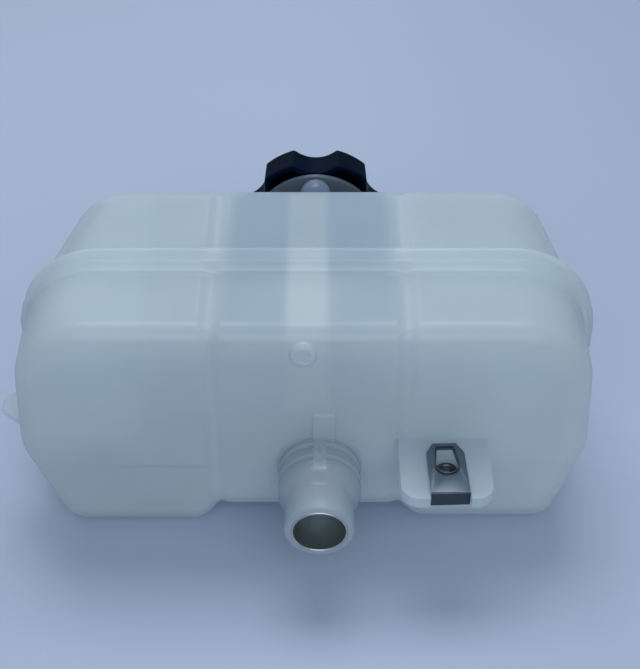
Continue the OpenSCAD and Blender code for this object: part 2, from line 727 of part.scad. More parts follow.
// Coil spring along the neck's axis from y0 to y1, as rings of wire swept round the helix
module coil(coil_r, wire_d, turns, y0, y1) {
    steps = turns * spring_steps;
    rise = (y1 - y0 - wire_d) / steps;
    points = [for (i = [0:steps]) let (a = 360 * i / spring_steps, y = y0 + wire_d / 2 + rise * i)
        for (j = [0:spring_sides - 1]) let (b = 360 * j / spring_sides, r = coil_r + wire_d / 2 * cos(b))
            [neck_x + r * cos(a), y + wire_d / 2 * sin(b), neck_z + r * sin(a)]];
    n = spring_sides;
    sides = [for (i = [0:steps - 1], j = [0:n - 1]) let (k = (j + 1) % n)
        each [[i * n + j, i * n + k, (i + 1) * n + k], [i * n + j, (i + 1) * n + k, (i + 1) * n + j]]];
    ends = [[for (j = [spring_sides - 1:-1:0]) j], [for (j = [0:spring_sides - 1]) steps * spring_sides + j]];
    polyhedron(points = points, faces = concat(sides, ends), convexity = 8);
}

module pressure_spring() {
    color(spring_colour)
        coil(pressure_coil_r, pressure_wire, pressure_turns, spring_y0 + thin, spring_seat_y - thin);
}

// Small poppet that lets air back in: a disc under the seal and a stem through the pressure plate
module vacuum_plate() {
    color(brass_colour) {
        bar_y(neck_x, neck_z, vacuum_plate_d / 2, seal_face_y - vacuum_disc_t, seal_face_y);
        bar_y(neck_x, neck_z, stem_d / 2, seal_face_y - thin, retainer_y + retainer_t + lap / 2);
    }
}

module vacuum_spring() {
    color(spring_colour) coil(vacuum_coil_r, vacuum_wire, vacuum_turns, spring_y0 + thin, retainer_y - thin);
}

// Push-on washer that holds the vacuum spring on the stem
module vacuum_retainer() {
    color(steel_colour) neck_ring(stem_d / 2, retainer_d / 2, retainer_y, retainer_y + retainer_t);
}

outlet_half_shell();
filler_half_shell();
outlet_sleeve();
clip_nut();
cap_grip();
valve_housing();
neck_seal_ring();
spring_seat();
pressure_plate();
pressure_seal();
pressure_spring();
vacuum_plate();
vacuum_spring();
vacuum_retainer();
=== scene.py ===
import math
import bpy
import bmesh
import numpy as np
from mathutils.geometry import tessellate_polygon
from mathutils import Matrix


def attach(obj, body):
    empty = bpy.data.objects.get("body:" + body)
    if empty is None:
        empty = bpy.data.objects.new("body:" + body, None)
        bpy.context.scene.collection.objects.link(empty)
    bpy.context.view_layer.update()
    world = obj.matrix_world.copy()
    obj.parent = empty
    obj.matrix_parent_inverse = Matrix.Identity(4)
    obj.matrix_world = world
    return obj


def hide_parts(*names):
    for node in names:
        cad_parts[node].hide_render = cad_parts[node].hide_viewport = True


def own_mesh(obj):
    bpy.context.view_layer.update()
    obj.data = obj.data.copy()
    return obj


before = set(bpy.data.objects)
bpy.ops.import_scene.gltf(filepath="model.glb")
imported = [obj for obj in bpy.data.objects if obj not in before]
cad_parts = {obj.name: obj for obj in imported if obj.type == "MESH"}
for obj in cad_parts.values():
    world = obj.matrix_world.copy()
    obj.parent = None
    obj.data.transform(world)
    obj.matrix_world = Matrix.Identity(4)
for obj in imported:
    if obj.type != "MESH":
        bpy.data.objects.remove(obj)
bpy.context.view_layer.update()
print("frame loaded")

mm = 0.001


# ---- shader helpers: a socket that takes part in sums, and a finish that holds its nodes
class Wire:
    def __init__(self, finish, socket):
        self.finish, self.socket = finish, socket

    def combine(self, operation, first, second):
        return self.finish.wire("ShaderNodeMath", 0, {"operation": operation}, {0: first, 1: second})

    def __add__(self, other):
        return self.combine("ADD", self, other)

    def __sub__(self, other):
        return self.combine("SUBTRACT", self, other)

    def __rsub__(self, other):
        return self.combine("SUBTRACT", other, self)

    def __mul__(self, other):
        return self.combine("MULTIPLY", self, other)

    __radd__ = __add__
    __rmul__ = __mul__


class Finish:
    def __init__(self, name):
        self.material = bpy.data.materials.new(name)
        self.material.use_nodes = True
        self.tree = self.material.node_tree
        self.tree.nodes.clear()

    def node(self, kind, settings=None, inputs=None):
        made = self.tree.nodes.new(kind)
        for key, value in (settings or {}).items():
            if key == "stops":
                for stop, (spot, colour) in zip(made.color_ramp.elements, value):
                    stop.position = spot
                    stop.color = (*colour, 1)
            else:
                setattr(made, key, value)
        for key, value in (inputs or {}).items():
            if isinstance(value, Wire):
                self.tree.links.new(value.socket, made.inputs[key])
            else:
                made.inputs[key].default_value = value
        return made

    def wire(self, kind, output, settings=None, inputs=None):
        return Wire(self, self.node(kind, settings, inputs).outputs[output])

    def noise(self, scale, detail, stretch=(1, 1, 1)):
        spot = self.wire("ShaderNodeTexCoord", "Object")
        place = self.wire("ShaderNodeMapping", "Vector", {}, {"Vector": spot, "Scale": stretch})
        return self.wire("ShaderNodeTexNoise", "Fac", {}, {"Vector": place, "Scale": scale, "Detail": detail})

    def tint(self, mask, dark, light):
        return self.wire("ShaderNodeValToRGB", "Color", {"stops": [(0.3, dark), (0.7, light)]}, {"Fac": mask})

    def axes(self):
        split = self.node("ShaderNodeSeparateXYZ", {}, {0: self.wire("ShaderNodeTexCoord", "Object")})
        return [Wire(self, socket) for socket in split.outputs]

    def size(self, value):
        return self.wire("ShaderNodeMath", 0, {"operation": "ABSOLUTE"}, {0: value})

    def fade(self, value, start, end):
        # 1 where the value is below start, 0 above end
        return self.wire("ShaderNodeMapRange", 0, {"interpolation_type": "SMOOTHSTEP"}, {
            "Value": value, "From Min": start, "From Max": end, "To Min": 1.0, "To Max": 0.0})

    def mix(self, factor, first, second):
        second = second if isinstance(second, Wire) else (*second, 1)
        return self.wire("ShaderNodeMix", 2, {"data_type": "RGBA"}, {0: factor, 6: first, 7: second})

    def bump(self, height, strength, distance):
        return self.wire("ShaderNodeBump", "Normal", {}, {
            "Height": height, "Strength": strength, "Distance": distance})

    def skin(self, inputs):
        return self.wire("ShaderNodeBsdfPrincipled", 0, {}, inputs)

    def finish(self, shader):
        out = self.node("ShaderNodeOutputMaterial")
        self.tree.links.new(shader.socket, out.inputs["Surface"])
        return self.material


# ---- mesh helpers, all in millimetres
def makeMesh(name, verts, faces, material, sharpAngle=32, merge=0.0):
    mesh = bpy.data.meshes.new(name)
    mesh.from_pydata((np.asarray(verts, dtype=float) * mm).tolist(), [], [list(f) for f in faces])
    mesh.materials.append(material)
    obj = bpy.data.objects.new(name, mesh)
    bpy.context.collection.objects.link(obj)
    bm = bmesh.new()
    bm.from_mesh(mesh)
    if merge:
        bmesh.ops.remove_doubles(bm, verts=bm.verts, dist=merge * mm)
        bmesh.ops.dissolve_degenerate(bm, edges=bm.edges, dist=merge * mm / 2)
    bmesh.ops.recalc_face_normals(bm, faces=bm.faces)
    bm.to_mesh(mesh)
    bm.free()
    shade(obj, sharpAngle)
    return obj


def shade(obj, sharpAngle):
    obj.data.shade_smooth()
    obj.data.set_sharp_from_angle(angle=math.radians(sharpAngle))


def bake(obj, sharpAngle):
    # turns the object and its modifiers into one plain mesh
    plain = bpy.data.meshes.new_from_object(obj.evaluated_get(bpy.context.evaluated_depsgraph_get()))
    plain.name = obj.name
    obj.modifiers.clear()
    obj.data = plain
    if sharpAngle:
        shade(obj, sharpAngle)
    return obj


def modify(obj, kind, **settings):
    modifier = obj.modifiers.new(kind.lower(), kind)
    for key, value in settings.items():
        setattr(modifier, key, value)
    return modifier


def cut(obj, tools, operation="DIFFERENCE", sharpAngle=None):
    for tool in tools:
        modify(obj, "BOOLEAN", object=tool, operation=operation, solver="EXACT")
    bake(obj, sharpAngle)
    for tool in tools:
        bpy.data.objects.remove(tool)
    return obj


def bevel(obj, width, segments, angle=35):
    modify(obj, "BEVEL", width=width * mm, segments=segments, limit_method="ANGLE",
           angle_limit=math.radians(angle), harden_normals=False)
    return bake(obj, 32)


def fullTurn(steps):
    return [2 * math.pi * i / steps for i in range(steps)]


def gridFaces(rows, columns):
    # rows of points, each row closed to a ring
    faces = []
    for r in range(rows - 1):
        for c in range(columns):
            n = (c + 1) % columns
            faces.append((r * columns + c, r * columns + n, (r + 1) * columns + n, (r + 1) * columns + c))
    return faces


def capFaces(total, count):
    # the first and the last ring of a grid, closed by one face each
    return [tuple(range(count)), tuple(range(total - 1, total - 1 - count, -1))]


def revolve(name, profile, centre, material, steps, sharpAngle=32, upright=False):
    # closed profile of (radius, height) round an axis along Y at centre (x, z), or upright at (x, y)
    count, verts, faces = len(profile), [], []
    for s, a in enumerate(fullTurn(steps)):
        t = (s + 1) % steps
        for k, (radius, height) in enumerate(profile):
            u, v = centre[0] + radius * math.cos(a), centre[1] + radius * math.sin(a)
            verts.append((u, v, height) if upright else (u, height, v))
            n = (k + 1) % count
            faces.append((s * count + k, s * count + n, t * count + n, t * count + k))
    return makeMesh(name, verts, faces, material, sharpAngle, merge=0.0005)


def slab(name, loops, low, high, place, material):
    # flat sheet between low and high, the first loop outside and the others holes, put in place by a function
    flat = [[(p[0], p[1], 0.0) for p in loop] for loop in loops]
    points = [p for loop in flat for p in loop]
    triangles = tessellate_polygon(flat)
    verts = [place(p[0], p[1], low) for p in points] + [place(p[0], p[1], high) for p in points]
    count = len(points)
    faces = [tuple(t) for t in triangles] + [tuple(i + count for i in reversed(t)) for t in triangles]
    start = 0
    for loop in flat:
        for i in range(len(loop)):
            a, b = start + i, start + (i + 1) % len(loop)
            faces.append((a, b, b + count, a + count))
        start += len(loop)
    return makeMesh(name, verts, faces, material, merge=0.0005)


def level(u, v, w):
    return u, v, w


def arc(centre, radius, start, end, steps):
    turns = [math.radians(start + (end - start) * i / steps) for i in range(steps + 1)]
    return [(centre[0] + radius * math.cos(a), centre[1] + radius * math.sin(a)) for a in turns]


def tangents(circles):
    # heading of the outward normal on the line from each circle (x, y, radius) to the next, anticlockwise
    headings = []
    for i, a in enumerate(circles):
        b = circles[(i + 1) % len(circles)]
        span = (b[0] - a[0], b[1] - a[1])
        headings.append(math.atan2(span[1], span[0]) - math.acos((a[2] - b[2]) / math.hypot(*span)))
    return headings


def turnOf(headings, i):
    # where the arc on circle i starts and ends
    start, end = headings[i - 1], headings[i]
    while end < start:
        end += 2 * math.pi
    return start, end


def hullLoop(circles, steps):
    # convex outline round the circles
    headings, loop = tangents(circles), []
    for i, (x, y, radius) in enumerate(circles):
        start, end = turnOf(headings, i)
        loop += arc((x, y), radius, math.degrees(start), math.degrees(end), steps)
    return loop


def dress(obj, body, slot, *nodes):
    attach(obj, body)
    if nodes:
        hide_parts(*nodes)
    return obj


def smoothstep(low, high, value):
    t = np.clip((value - low) / (high - low), 0, 1)
    return t * t * (3 - 2 * t)


# ---- finishes
# the deep colour is painted shade over the open bays, and the pale colour after it is painted light over the
# inner walls
plastic = {
    "glow": (0.83, 0.91, 0.95), "deep": (0.27, 0.41, 0.58), "paintedWallLight": (0.90, 0.94, 0.95), "cloudScale": 9,
    "sway": 55, "swayStrength": 0.22, "swayDepth": 0.0006, "channelX": -0.0004,
    "channelHalf": (0.0075, 0.0125), "channelFoot": (0.078, 0.096), "baffleX": 0.0485,
    "baffleHalf": (0.001, 0.0075), "bayHalf": (0.036, 0.047), "bayFoot": (0.06, 0.11),
    "faceY": (-0.0525, -0.045), "backY": (0.062, 0.08), "middleY": (-0.03, 0.03),
}


def milkyPlastic(name="milkyPlastic", dark=(0.68, 0.755, 0.79), light=(0.80, 0.875, 0.91),
                 alpha=0.56, through=0.36, rough=0.19):
    # painted light: the base colour is paler where an inner wall backs the skin; painted shade: it is deeper
    # over the open bays at the top
    p = plastic
    f = Finish(name)
    cloud = f.noise(p["cloudScale"], 4)
    x, y, z = f.axes()
    front = f.fade(y, *p["middleY"])
    notBack = f.fade(y, *p["backY"])
    # masks of painted light down the middle channel and over the baffles, and of painted shade over the bays
    channelLight = f.fade(f.size(x - p["channelX"]), *p["channelHalf"]) * (1 - f.fade(z, *p["channelFoot"]))
    channelLight = channelLight * (0.35 + 0.65 * front) * notBack
    baffleLight = f.fade(f.size(f.size(x) - p["baffleX"]), *p["baffleHalf"])
    bayShade = f.fade(f.size(x), *p["bayHalf"]) * (1 - channelLight) * (0.20 + 0.28 * (1 - front))
    bayShade = (0.12 + bayShade - 0.12 * channelLight) * (1 - f.fade(z, *p["bayFoot"]))
    bayShade = bayShade * (1 - f.fade(y, *p["faceY"])) * (0.25 + 0.75 * notBack)
    # painted shade over the bays first, then painted light over the channel and the baffles
    colour = f.mix(bayShade, f.tint(cloud, dark, light), p["deep"])
    colour = f.mix(channelLight * 0.45 + baffleLight * 0.20, colour, p["paintedWallLight"])
    skin = f.skin({
        "Base Color": colour,
        "Roughness": rough + 0.12 * cloud,
        "Alpha": alpha,
        "IOR": 1.5,
        "Normal": f.bump(f.noise(p["sway"], 1), p["swayStrength"], p["swayDepth"])})
    glow = f.wire("ShaderNodeBsdfTranslucent", 0, {}, {"Color": (*p["glow"], 1)})
    return f.finish(f.wire("ShaderNodeMixShader", 0, {}, {0: through, 1: skin, 2: glow}))


def blackPlastic(name="blackPlastic", base=(0.0005, 0.0030, 0.0105), rough=0.46, gloss=0.03):
    f = Finish(name)
    grain = f.noise(1400, 3)
    cloud = f.noise(40, 4)
    lighter = tuple(c * 1.8 + 0.0003 for c in base)
    return f.finish(f.skin({
        "Base Color": f.tint(cloud, base, lighter),
        "Roughness": rough - 0.06 + 0.16 * cloud,
        "Specular IOR Level": gloss,
        "Specular Tint": (0.4, 0.75, 1.0, 1.0),
        "Normal": f.bump(grain, 0.3, 0.00015)}))


def sheetSteel(name, dark, light, rough, stretch, foldShadeY=None):
    # the sheet is painted darker below the given y, as painted shade on the clip's front fold
    f = Finish(name)
    streaks = f.noise(260, 4, stretch)
    stains = f.noise(70, 4)
    colour = f.tint(stains, dark, light)
    if foldShadeY:
        colour = f.mix(0.8 * f.fade(f.axes()[1], foldShadeY, foldShadeY + 0.0008), colour, tuple(c * 0.3 for c in dark))
    return f.finish(f.skin({
        "Base Color": colour,
        "Metallic": 1.0,
        "Roughness": rough + 0.14 * streaks + 0.06 * stains,
        "Normal": f.bump(streaks, 0.12, 0.0001)}))


def rubberFinish():
    f = Finish("sealRubber")
    grain = f.noise(900, 3)
    return f.finish(f.skin({
        "Base Color": f.tint(grain, (0.010, 0.010, 0.011), (0.022, 0.022, 0.023)),
        "Roughness": 0.62 + 0.15 * grain,
        "Normal": f.bump(grain, 0.3, 0.00015)}))


milky = milkyPlastic()
milkyPipe = milkyPlastic("milkyPipe", (0.44, 0.51, 0.60), (0.52, 0.59, 0.68), 0.62, 0.24, 0.10)
# darker copy of the milky plastic for the web, rib, boss, plate and ear: painted shade that tones down their
# lit top faces
shadedPlatePlastic = milkyPlastic("shadedPlatePlastic", (0.58, 0.66, 0.72), (0.64, 0.72, 0.78), 0.5, 0.3)
# darker copy of the milky plastic: painted shade on the neck and its disc under the cap
shadedNeckPlastic = milkyPlastic("shadedNeckPlastic", (0.11, 0.13, 0.165), (0.14, 0.16, 0.195), 0.58, 0.1)
# darker copy of the milky plastic: painted shade on the blind stub under the disc and cap
shadedStubPlastic = milkyPlastic("shadedStubPlastic", (0.155, 0.22, 0.33), (0.20, 0.265, 0.385), 0.68, 0.12)
capBlack = blackPlastic()
housingBlack = blackPlastic("housingPlastic", (0.010, 0.011, 0.013), 0.45, 0.4)
sleeveSteel = sheetSteel("sleeveSteel", (0.44, 0.45, 0.43), (0.58, 0.58, 0.54), 0.26, (1, 0.05, 1))
# clip steel with painted shade on its front fold, below y -93.1 mm
clipSteel = sheetSteel("clipSteel", (0.145, 0.18, 0.22), (0.21, 0.245, 0.285), 0.26, (1, 0.2, 1), -0.0931)
# darker copy of the clip's steel: painted shade for the barrel down in its well and for the window's raised
# rim
shadedClipSteel = sheetSteel("shadedClipSteel", (0.05, 0.062, 0.075), (0.09, 0.105, 0.12), 0.3, (1, 0.2, 1))
springSteel = sheetSteel("springSteel", (0.50, 0.50, 0.50), (0.62, 0.62, 0.61), 0.25, (1, 1, 1))
brass = sheetSteel("valveBrass", (0.50, 0.38, 0.17), (0.62, 0.48, 0.23), 0.24, (1, 1, 1))
rubber = rubberFinish()
print("finishes made")

# ---- tank shells: an outline at the weld flows into the face, with soft edges, grooves and a raised bay
tank = {
    "height": 136.0, "rightReach": 144.5, "leftReach": 149.5, "wall": 3.0, "topRadius": 38.0, "topShift": 2.5,
    "sideRadius": 34.0, "sideHeight": 60.0, "footRadius": 15.5, "footX": 119.0, "draft": 1.5,
    "grooveX": 48.5, "grooveHalf": 6.4, "grooveDepth": 1.8, "bayLift": 10.0, "bayBlend": (44, 62),
    "stepHeight": 46.0, "stepDepth": 0.8, "stepBlend": (-0.9, 0.3), "middle": 68.0, "medialX": 70.0,
}
outletHalf = {"side": -1, "depth": 54.0, "edge": 11.0, "footEdges": (15.0, 11.0), "bayEdge": 15.0}
fillerHalf = {"side": 1, "depth": 84.0, "edge": 25.0, "footEdges": (15.5, 15.5), "bayEdge": 25.0,
              "cornerX": 100.0, "cornerRadius": 32.0}


def stations():
    # x places of the outline points along the flat top and bottom, dense at the grooves
    dense = np.arange(42.5, 55.1, 0.7)
    xs = np.concatenate([np.arange(0, 42, 6.0), dense, np.arange(56, 70.1, 1.75), [76, 84, 92]])
    return np.concatenate([-xs[:0:-1], xs])


def bodyCircles(half, inset, atWeld):
    # anticlockwise from the right foot: x, z, radius, and the radius of the face's edge there
    t, result = tank, []
    for sign, reach, footEdge in zip((1, -1), (t["rightReach"], t["leftReach"]), half["footEdges"]):
        if atWeld or half["side"] < 0:
            grow = t["draft"] if atWeld else 0
            side = [
                (t["footX"], t["footRadius"] + grow, t["footRadius"] + grow, footEdge),
                (reach - t["sideRadius"], t["sideHeight"], t["sideRadius"] + grow, half["edge"]),
                (reach - t["topRadius"] - t["topShift"], t["height"] - t["topRadius"], t["topRadius"] + grow,
                 half["edge"])]
        else:
            r = half["cornerRadius"]
            side = [
                (half["cornerX"], t["footRadius"], t["footRadius"], footEdge),
                (half["cornerX"], t["sideHeight"], r, half["edge"]),
                (half["cornerX"], t["height"] - r, r, half["edge"])]
        side = [(sign * x, z, r - inset, e - inset) for x, z, r, e in side]
        result.append(side)
    return result[0] + result[1][::-1]


def bodyLoop(half, inset, atWeld):
    circles = bodyCircles(half, inset, atWeld)
    count = len(circles)
    headings = tangents([c[:3] for c in circles])
    arcSteps = [12, 14, 16, 16, 14, 12]
    points, normals, edges = [], [], []

    def put(x, z, angle, edge):
        points.append((x, z))
        normals.append((math.cos(angle), math.sin(angle)))
        edges.append(edge)

    for i in range(count):
        x, z, r, edge = circles[i]
        start, end = turnOf(headings, i)
        for k in range(arcSteps[i] + 1):
            angle = start + (end - start) * k / arcSteps[i]
            put(x + r * math.cos(angle), z + r * math.sin(angle), angle, edge)
        nx, nz, nr, nextEdge = circles[(i + 1) % count]
        a = np.array((x + r * math.cos(end), z + r * math.sin(end)))
        b = np.array((nx + nr * math.cos(end), nz + nr * math.sin(end)))
        if i in (2, 5):        # flat top and bottom
            for s in (stations()[::-1] if i == 2 else stations()):
                near = edge if s < 0 else nextEdge
                middle = 1 - smoothstep(*tank["bayBlend"], abs(s))
                put(s, a[1], end, edge if i == 2 else near + (half["bayEdge"] - inset - near) * middle)
        else:
            for f in np.linspace(0, 1, 10)[1:-1]:
                p = a + (b - a) * f
                put(p[0], p[1], end, edge + (nextEdge - edge) * f)
    return np.array(points), np.array(normals), np.array(edges)


def carve(points, normals, half, faceShare):
    # raises the bay and presses in the grooves and the step
    t = tank
    x, z = points[:, 0], points[:, 2]
    lift = t["bayLift"] * (1 - smoothstep(*t["bayBlend"], np.abs(x)))
    points[:, 2] = z + lift * np.clip(1 - z / t["height"], 0, 1)
    groove = np.clip(np.abs(np.abs(x) - t["grooveX"]) / t["grooveHalf"], 0, 1)
    depth = t["grooveDepth"] * (0.5 + 0.5 * np.cos(math.pi * groove))
    if half["side"] < 0:
        low, high = (t["stepHeight"] + blend for blend in t["stepBlend"])
        depth = depth + faceShare * t["stepDepth"] * (1 - smoothstep(low, high, points[:, 2]))
    return points - normals * depth[:, None]


wallShares = {True: (0, 0.06, 0.16, 0.36, 0.58, 0.80, 1.0), False: (0, 0.3, 0.65, 1.0)}
edgeSteps = {True: 9, False: 5}
faceShares = {
    True: (0.06, 0.14, 0.24, 0.36, 0.46, 0.52, 0.545, 0.56, 0.575, 0.59, 0.605, 0.62, 0.66, 0.74, 0.86, 1.0),
    False: (0.25, 0.5, 0.75, 1.0)}


def halfSurface(half, inset, fine=True):
    # rows of points from the weld along the wall, round the face's edge and in to the face's middle line
    weld, _, _ = bodyLoop(half, inset, True)
    face, faceNormals, edges = bodyLoop(half, inset, False)
    depth, side, count = half["depth"] - inset, half["side"], len(weld)
    centre = face - faceNormals * edges[:, None]
    across = ((weld - centre) * faceNormals).sum(1)
    along = depth - edges
    first = np.arccos(np.clip(edges / np.hypot(across, along), -1, 1)) - np.arctan2(along, across)
    first = np.clip(first, 0.0, 1.2)
    rows = []

    def put(xz, y, normal, share):
        # normal: the angle round the edge, from the outline's own normal towards the face's
        points = np.column_stack([xz[:, 0], np.broadcast_to(side * y, (count,)), xz[:, 1]])
        out = faceNormals * np.cos(normal)[:, None]
        normals = np.column_stack([out[:, 0], side * np.sin(normal), out[:, 1]])
        rows.append(carve(points, normals, half, share))

    touch = centre + faceNormals * (edges * np.cos(first))[:, None]
    touchY = along + edges * np.sin(first)
    for f in wallShares[fine]:
        put(weld + (touch - weld) * f, touchY * f, first, np.zeros(count))
    steps = edgeSteps[fine]
    for k in range(1, steps + 1):
        angle = first + (math.pi / 2 - first) * k / steps
        put(centre + faceNormals * (edges * np.cos(angle))[:, None], along + edges * np.sin(angle), angle,
            np.sin(angle) ** 4)
    medialX = np.clip(centre[:, 0], -tank["medialX"], tank["medialX"])
    medial = np.column_stack([medialX, np.full(count, tank["middle"])])
    for f in faceShares[fine]:
        put(centre + (medial - centre) * f, depth, np.full(count, math.pi / 2), np.ones(count))
    return rows, count


def tankShell(name, half):
    outer, count = halfSurface(half, 0)
    inner, _ = halfSurface(half, tank["wall"])
    verts = np.concatenate(outer + inner)
    rows = len(outer)
    faces = gridFaces(rows, count)
    faces += [tuple(i + rows * count for i in reversed(f)) for f in faces]
    for c in range(count):
        n = (c + 1) % count
        faces.append((c, c + rows * count, n + rows * count, n))
    return makeMesh(name, verts, faces, milky, 40, merge=0.02)


def cavity(half):
    surface, count = halfSurface(half, tank["wall"] - 0.4, fine=False)
    verts = np.concatenate(surface)
    faces = gridFaces(len(surface), count) + [tuple(range(count))]
    return makeMesh("cavity", verts, faces, milky, merge=0.02)


def box(low, high):
    (x0, y0, z0), (x1, y1, z1) = low, high
    verts = [(x, y, z) for z in (z0, z1) for y in (y0, y1) for x in (x0, x1)]
    faces = [(0, 2, 3, 1), (4, 5, 7, 6), (0, 1, 5, 4), (2, 6, 7, 3), (0, 4, 6, 2), (1, 3, 7, 5)]
    return makeMesh("box", verts, faces, milky)


def rod(centre, radius, y0, y1):
    steps = 96
    verts = [(centre[0] + radius * math.cos(a), y, centre[1] + radius * math.sin(a))
             for y in (y0, y1) for a in fullTurn(steps)]
    return makeMesh("rod", verts, gridFaces(2, steps) + capFaces(len(verts), steps), milky)


outlet = {
    "x": 5.4, "z": 48.0, "hose": 17.4, "collar": 21.2, "bore": 13.0, "sleeve": 14.0, "sleeveLength": 32.0,
    "mouth": -101.0, "face": -54.0, "inside": -51.4, "lip": 1.8, "grooves": (-61.0, -69.1),
}
neck = {
    "x": 3.2, "z": 87.8, "bore": 21.0, "outer": 25.0, "face": 84.0, "rim": 118.0, "disc": 36.5,
    "discNear": 100.5, "discFar": 103.0, "stub": 8.7, "stubTop": 126.0,
}
outletAxis, neckAxis = (outlet["x"], outlet["z"]), (neck["x"], neck["z"])

outletShell = tankShell("outletShell", outletHalf)
fillerShell = tankShell("fillerShell", fillerHalf)
cut(outletShell, [rod(outletAxis, outlet["bore"], outlet["face"] - 6, outlet["face"] + 6)], sharpAngle=40)
cut(fillerShell, [rod(neckAxis, neck["bore"], neck["face"] - 6, neck["face"] + 6)], sharpAngle=40)
dress(outletShell, "tank", "tank", "outlet_half_shell")
dress(fillerShell, "tank", "tank", "filler_half_shell")
print("shells made", len(outletShell.data.polygons), len(fillerShell.data.polygons))

# ---- inner walls: baffles under the grooves, the middle channel and the side pocket
walls = {
    "thick": 2.4, "baffleHalf": 1.5, "channelLeft": 10.0, "channelRight": 11.5, "channelLow": 86.0,
    "pocketX": 83.0, "pocketZ": 62.0, "bend": 20.0, "window": 26.0, "windowLength": 20.0, "windowHalf": 6,
    "windowFeet": (18, 98), "outletWindow": -48, "fillerWindow": 39, "below": -5, "above": 145, "beyond": 160,
}


def innerWalls(name, half, channelLow, windowY):
    # drawn past the shell on all sides, then kept where they lie inside it
    w, side = walls, half["side"]
    low, high, thick = w["below"], w["above"], w["thick"]
    y0, y1 = sorted((0, side * (half["depth"] + 1)))
    grooves = (-tank["grooveX"], tank["grooveX"])
    pieces = [box((x - w["baffleHalf"], y0, low), (x + w["baffleHalf"], y1, high)) for x in grooves]
    yIn = sorted((0, side * (half["depth"] - (0 if side < 0 else half["edge"]))))
    for x in (-w["channelLeft"] - thick, w["channelRight"]):
        pieces.append(box((x, yIn[0], channelLow), (x + thick, yIn[1], high)))
    corner = (-w["pocketX"] - w["bend"], w["pocketZ"] + w["bend"])
    strip = [(-w["beyond"], w["pocketZ"])] + arc(corner, w["bend"], -90, 0, 14) + [(-w["pocketX"], high)]
    strip += [(-w["pocketX"] - thick, high)] + arc(corner, w["bend"] - thick, 0, -90, 14)
    strip += [(-w["beyond"], w["pocketZ"] + thick)]
    pieces.append(slab("pocket", [strip], y0, y1, lambda u, v, y: (u, y, v), milky))
    windows = [box((x - w["windowHalf"], windowY, z),
                   (x + w["windowHalf"], windowY + w["windowLength"], z + w["window"]))
               for x in grooves for z in w["windowFeet"]]
    for i, piece in enumerate(pieces):
        piece.name = name + ("Baffle", "Baffle", "Channel", "Channel", "Pocket")[i] + str(i)
        if i < 2:
            cut(piece, windows[2 * i:2 * i + 2])
        cut(piece, [cavity(half)], "INTERSECT")
        bevel(piece, 0.25, 1)
        dress(piece, "tank", "tank")


innerWalls("outlet", outletHalf, walls["channelLow"], walls["outletWindow"])
innerWalls("filler", fillerHalf, neck["z"] + neck["bore"] + tank["wall"], walls["fillerWindow"])
print("inner walls made")

# ---- weld flange: a rim over the seam that flows back into both halves, with a fine bead on the weld
flange = {
    "left": 151.5, "right": 149.5, "top": 141.5, "topRadius": 46.0, "sideHeight": 84.0, "foot": 18.5,
    # (share of the height, offset, y) from the outlet side to the filler side
    "profile": [
        (0, -2.2, -9.8), (0, -0.75, -9.8), (0, -0.2, -9.4), (0.04, -0.05, -9.0), (0.14, 0, -8.6),
        (0.26, 0, -8.25), (0.34, 0, -7.9), (0.37, 0, -7.5), (0.39, 0, -7.0), (0.45, 0, -6.2),
        (0.62, 0, -4.5), (0.81, 0, -2.8), (0.97, -0.02, -1.3), (1, -0.25, -0.9), (1, -0.22, -0.6),
        (1, -0.02, -0.35), (1, -0.02, -0.12), (1, -0.22, 0.1), (1, -0.25, 0.6), (1, -0.22, 6.6),
        (1, -0.1, 7.0), (1, -0.5, 7.3), (1, -0.5, 7.6), (1, -0.08, 7.9), (1, -0.05, 8.3),
        (0.93, -0.05, 8.8), (0.74, 0, 9.0), (0.45, 0, 9.3), (0.22, 0, 9.9), (0.06, -0.05, 11.0),
        (0, -0.2, 12.4), (0, -0.75, 13.6), (0, -2.2, 13.6)],
}


def weldFlange():
    g, t, zero = flange, tank, 1e-9
    side, top = (g["sideHeight"], t["sideRadius"]), (g["top"] - g["topRadius"], g["topRadius"])
    outline = np.array(hullLoop([
        (t["footX"], g["foot"], g["foot"]), (g["right"] - side[1], *side), (g["right"] - top[1], *top),
        (-g["left"] + top[1], *top), (-g["left"] + side[1], *side), (-t["footX"], g["foot"], g["foot"])], 40))
    weld, normals, _ = bodyLoop(outletHalf, 0, True)
    flat = np.zeros(len(weld))
    seam = carve(np.column_stack([weld[:, 0], flat, weld[:, 1]]),
                 np.column_stack([normals[:, 0], flat, normals[:, 1]]), fillerHalf, 0)[:, (0, 2)]
    heights = []
    ahead = np.roll(outline, -1, 0) - outline
    for p, q in zip(seam, normals):
        # how far the outline lies outside the seam, along the seam's normal
        across = ahead[:, 1] * q[0] - ahead[:, 0] * q[1]
        across = np.where(np.abs(across) < zero, zero, across)
        away = outline - p
        reach = (away[:, 0] * ahead[:, 1] - away[:, 1] * ahead[:, 0]) / across
        share = (away[:, 0] * q[1] - away[:, 1] * q[0]) / across
        hits = reach[(share >= -1e-6) & (share <= 1 + 1e-6) & (reach > -1)]
        heights.append(max(hits.max() if len(hits) else 0, 0))
    heights = np.array(heights)
    verts, count = [], len(seam)
    for share, offset, y in g["profile"]:
        out = heights * share + offset * np.clip(heights, 0.15, 1)
        verts.append(np.column_stack([seam[:, 0] + normals[:, 0] * out, np.full(count, y),
                                      seam[:, 1] + normals[:, 1] * out]))
    verts = np.concatenate(verts)
    verts[:, 2] = np.maximum(verts[:, 2], 0.0)
    rows = len(g["profile"])
    last = (rows - 1) * count
    faces = gridFaces(rows, count)
    faces += [(last + c, last + (c + 1) % count, (c + 1) % count, c) for c in range(count)]
    return makeMesh("weldFlange", verts, faces, milky, 50, merge=0.005)


dress(weldFlange(), "tank", "tank")

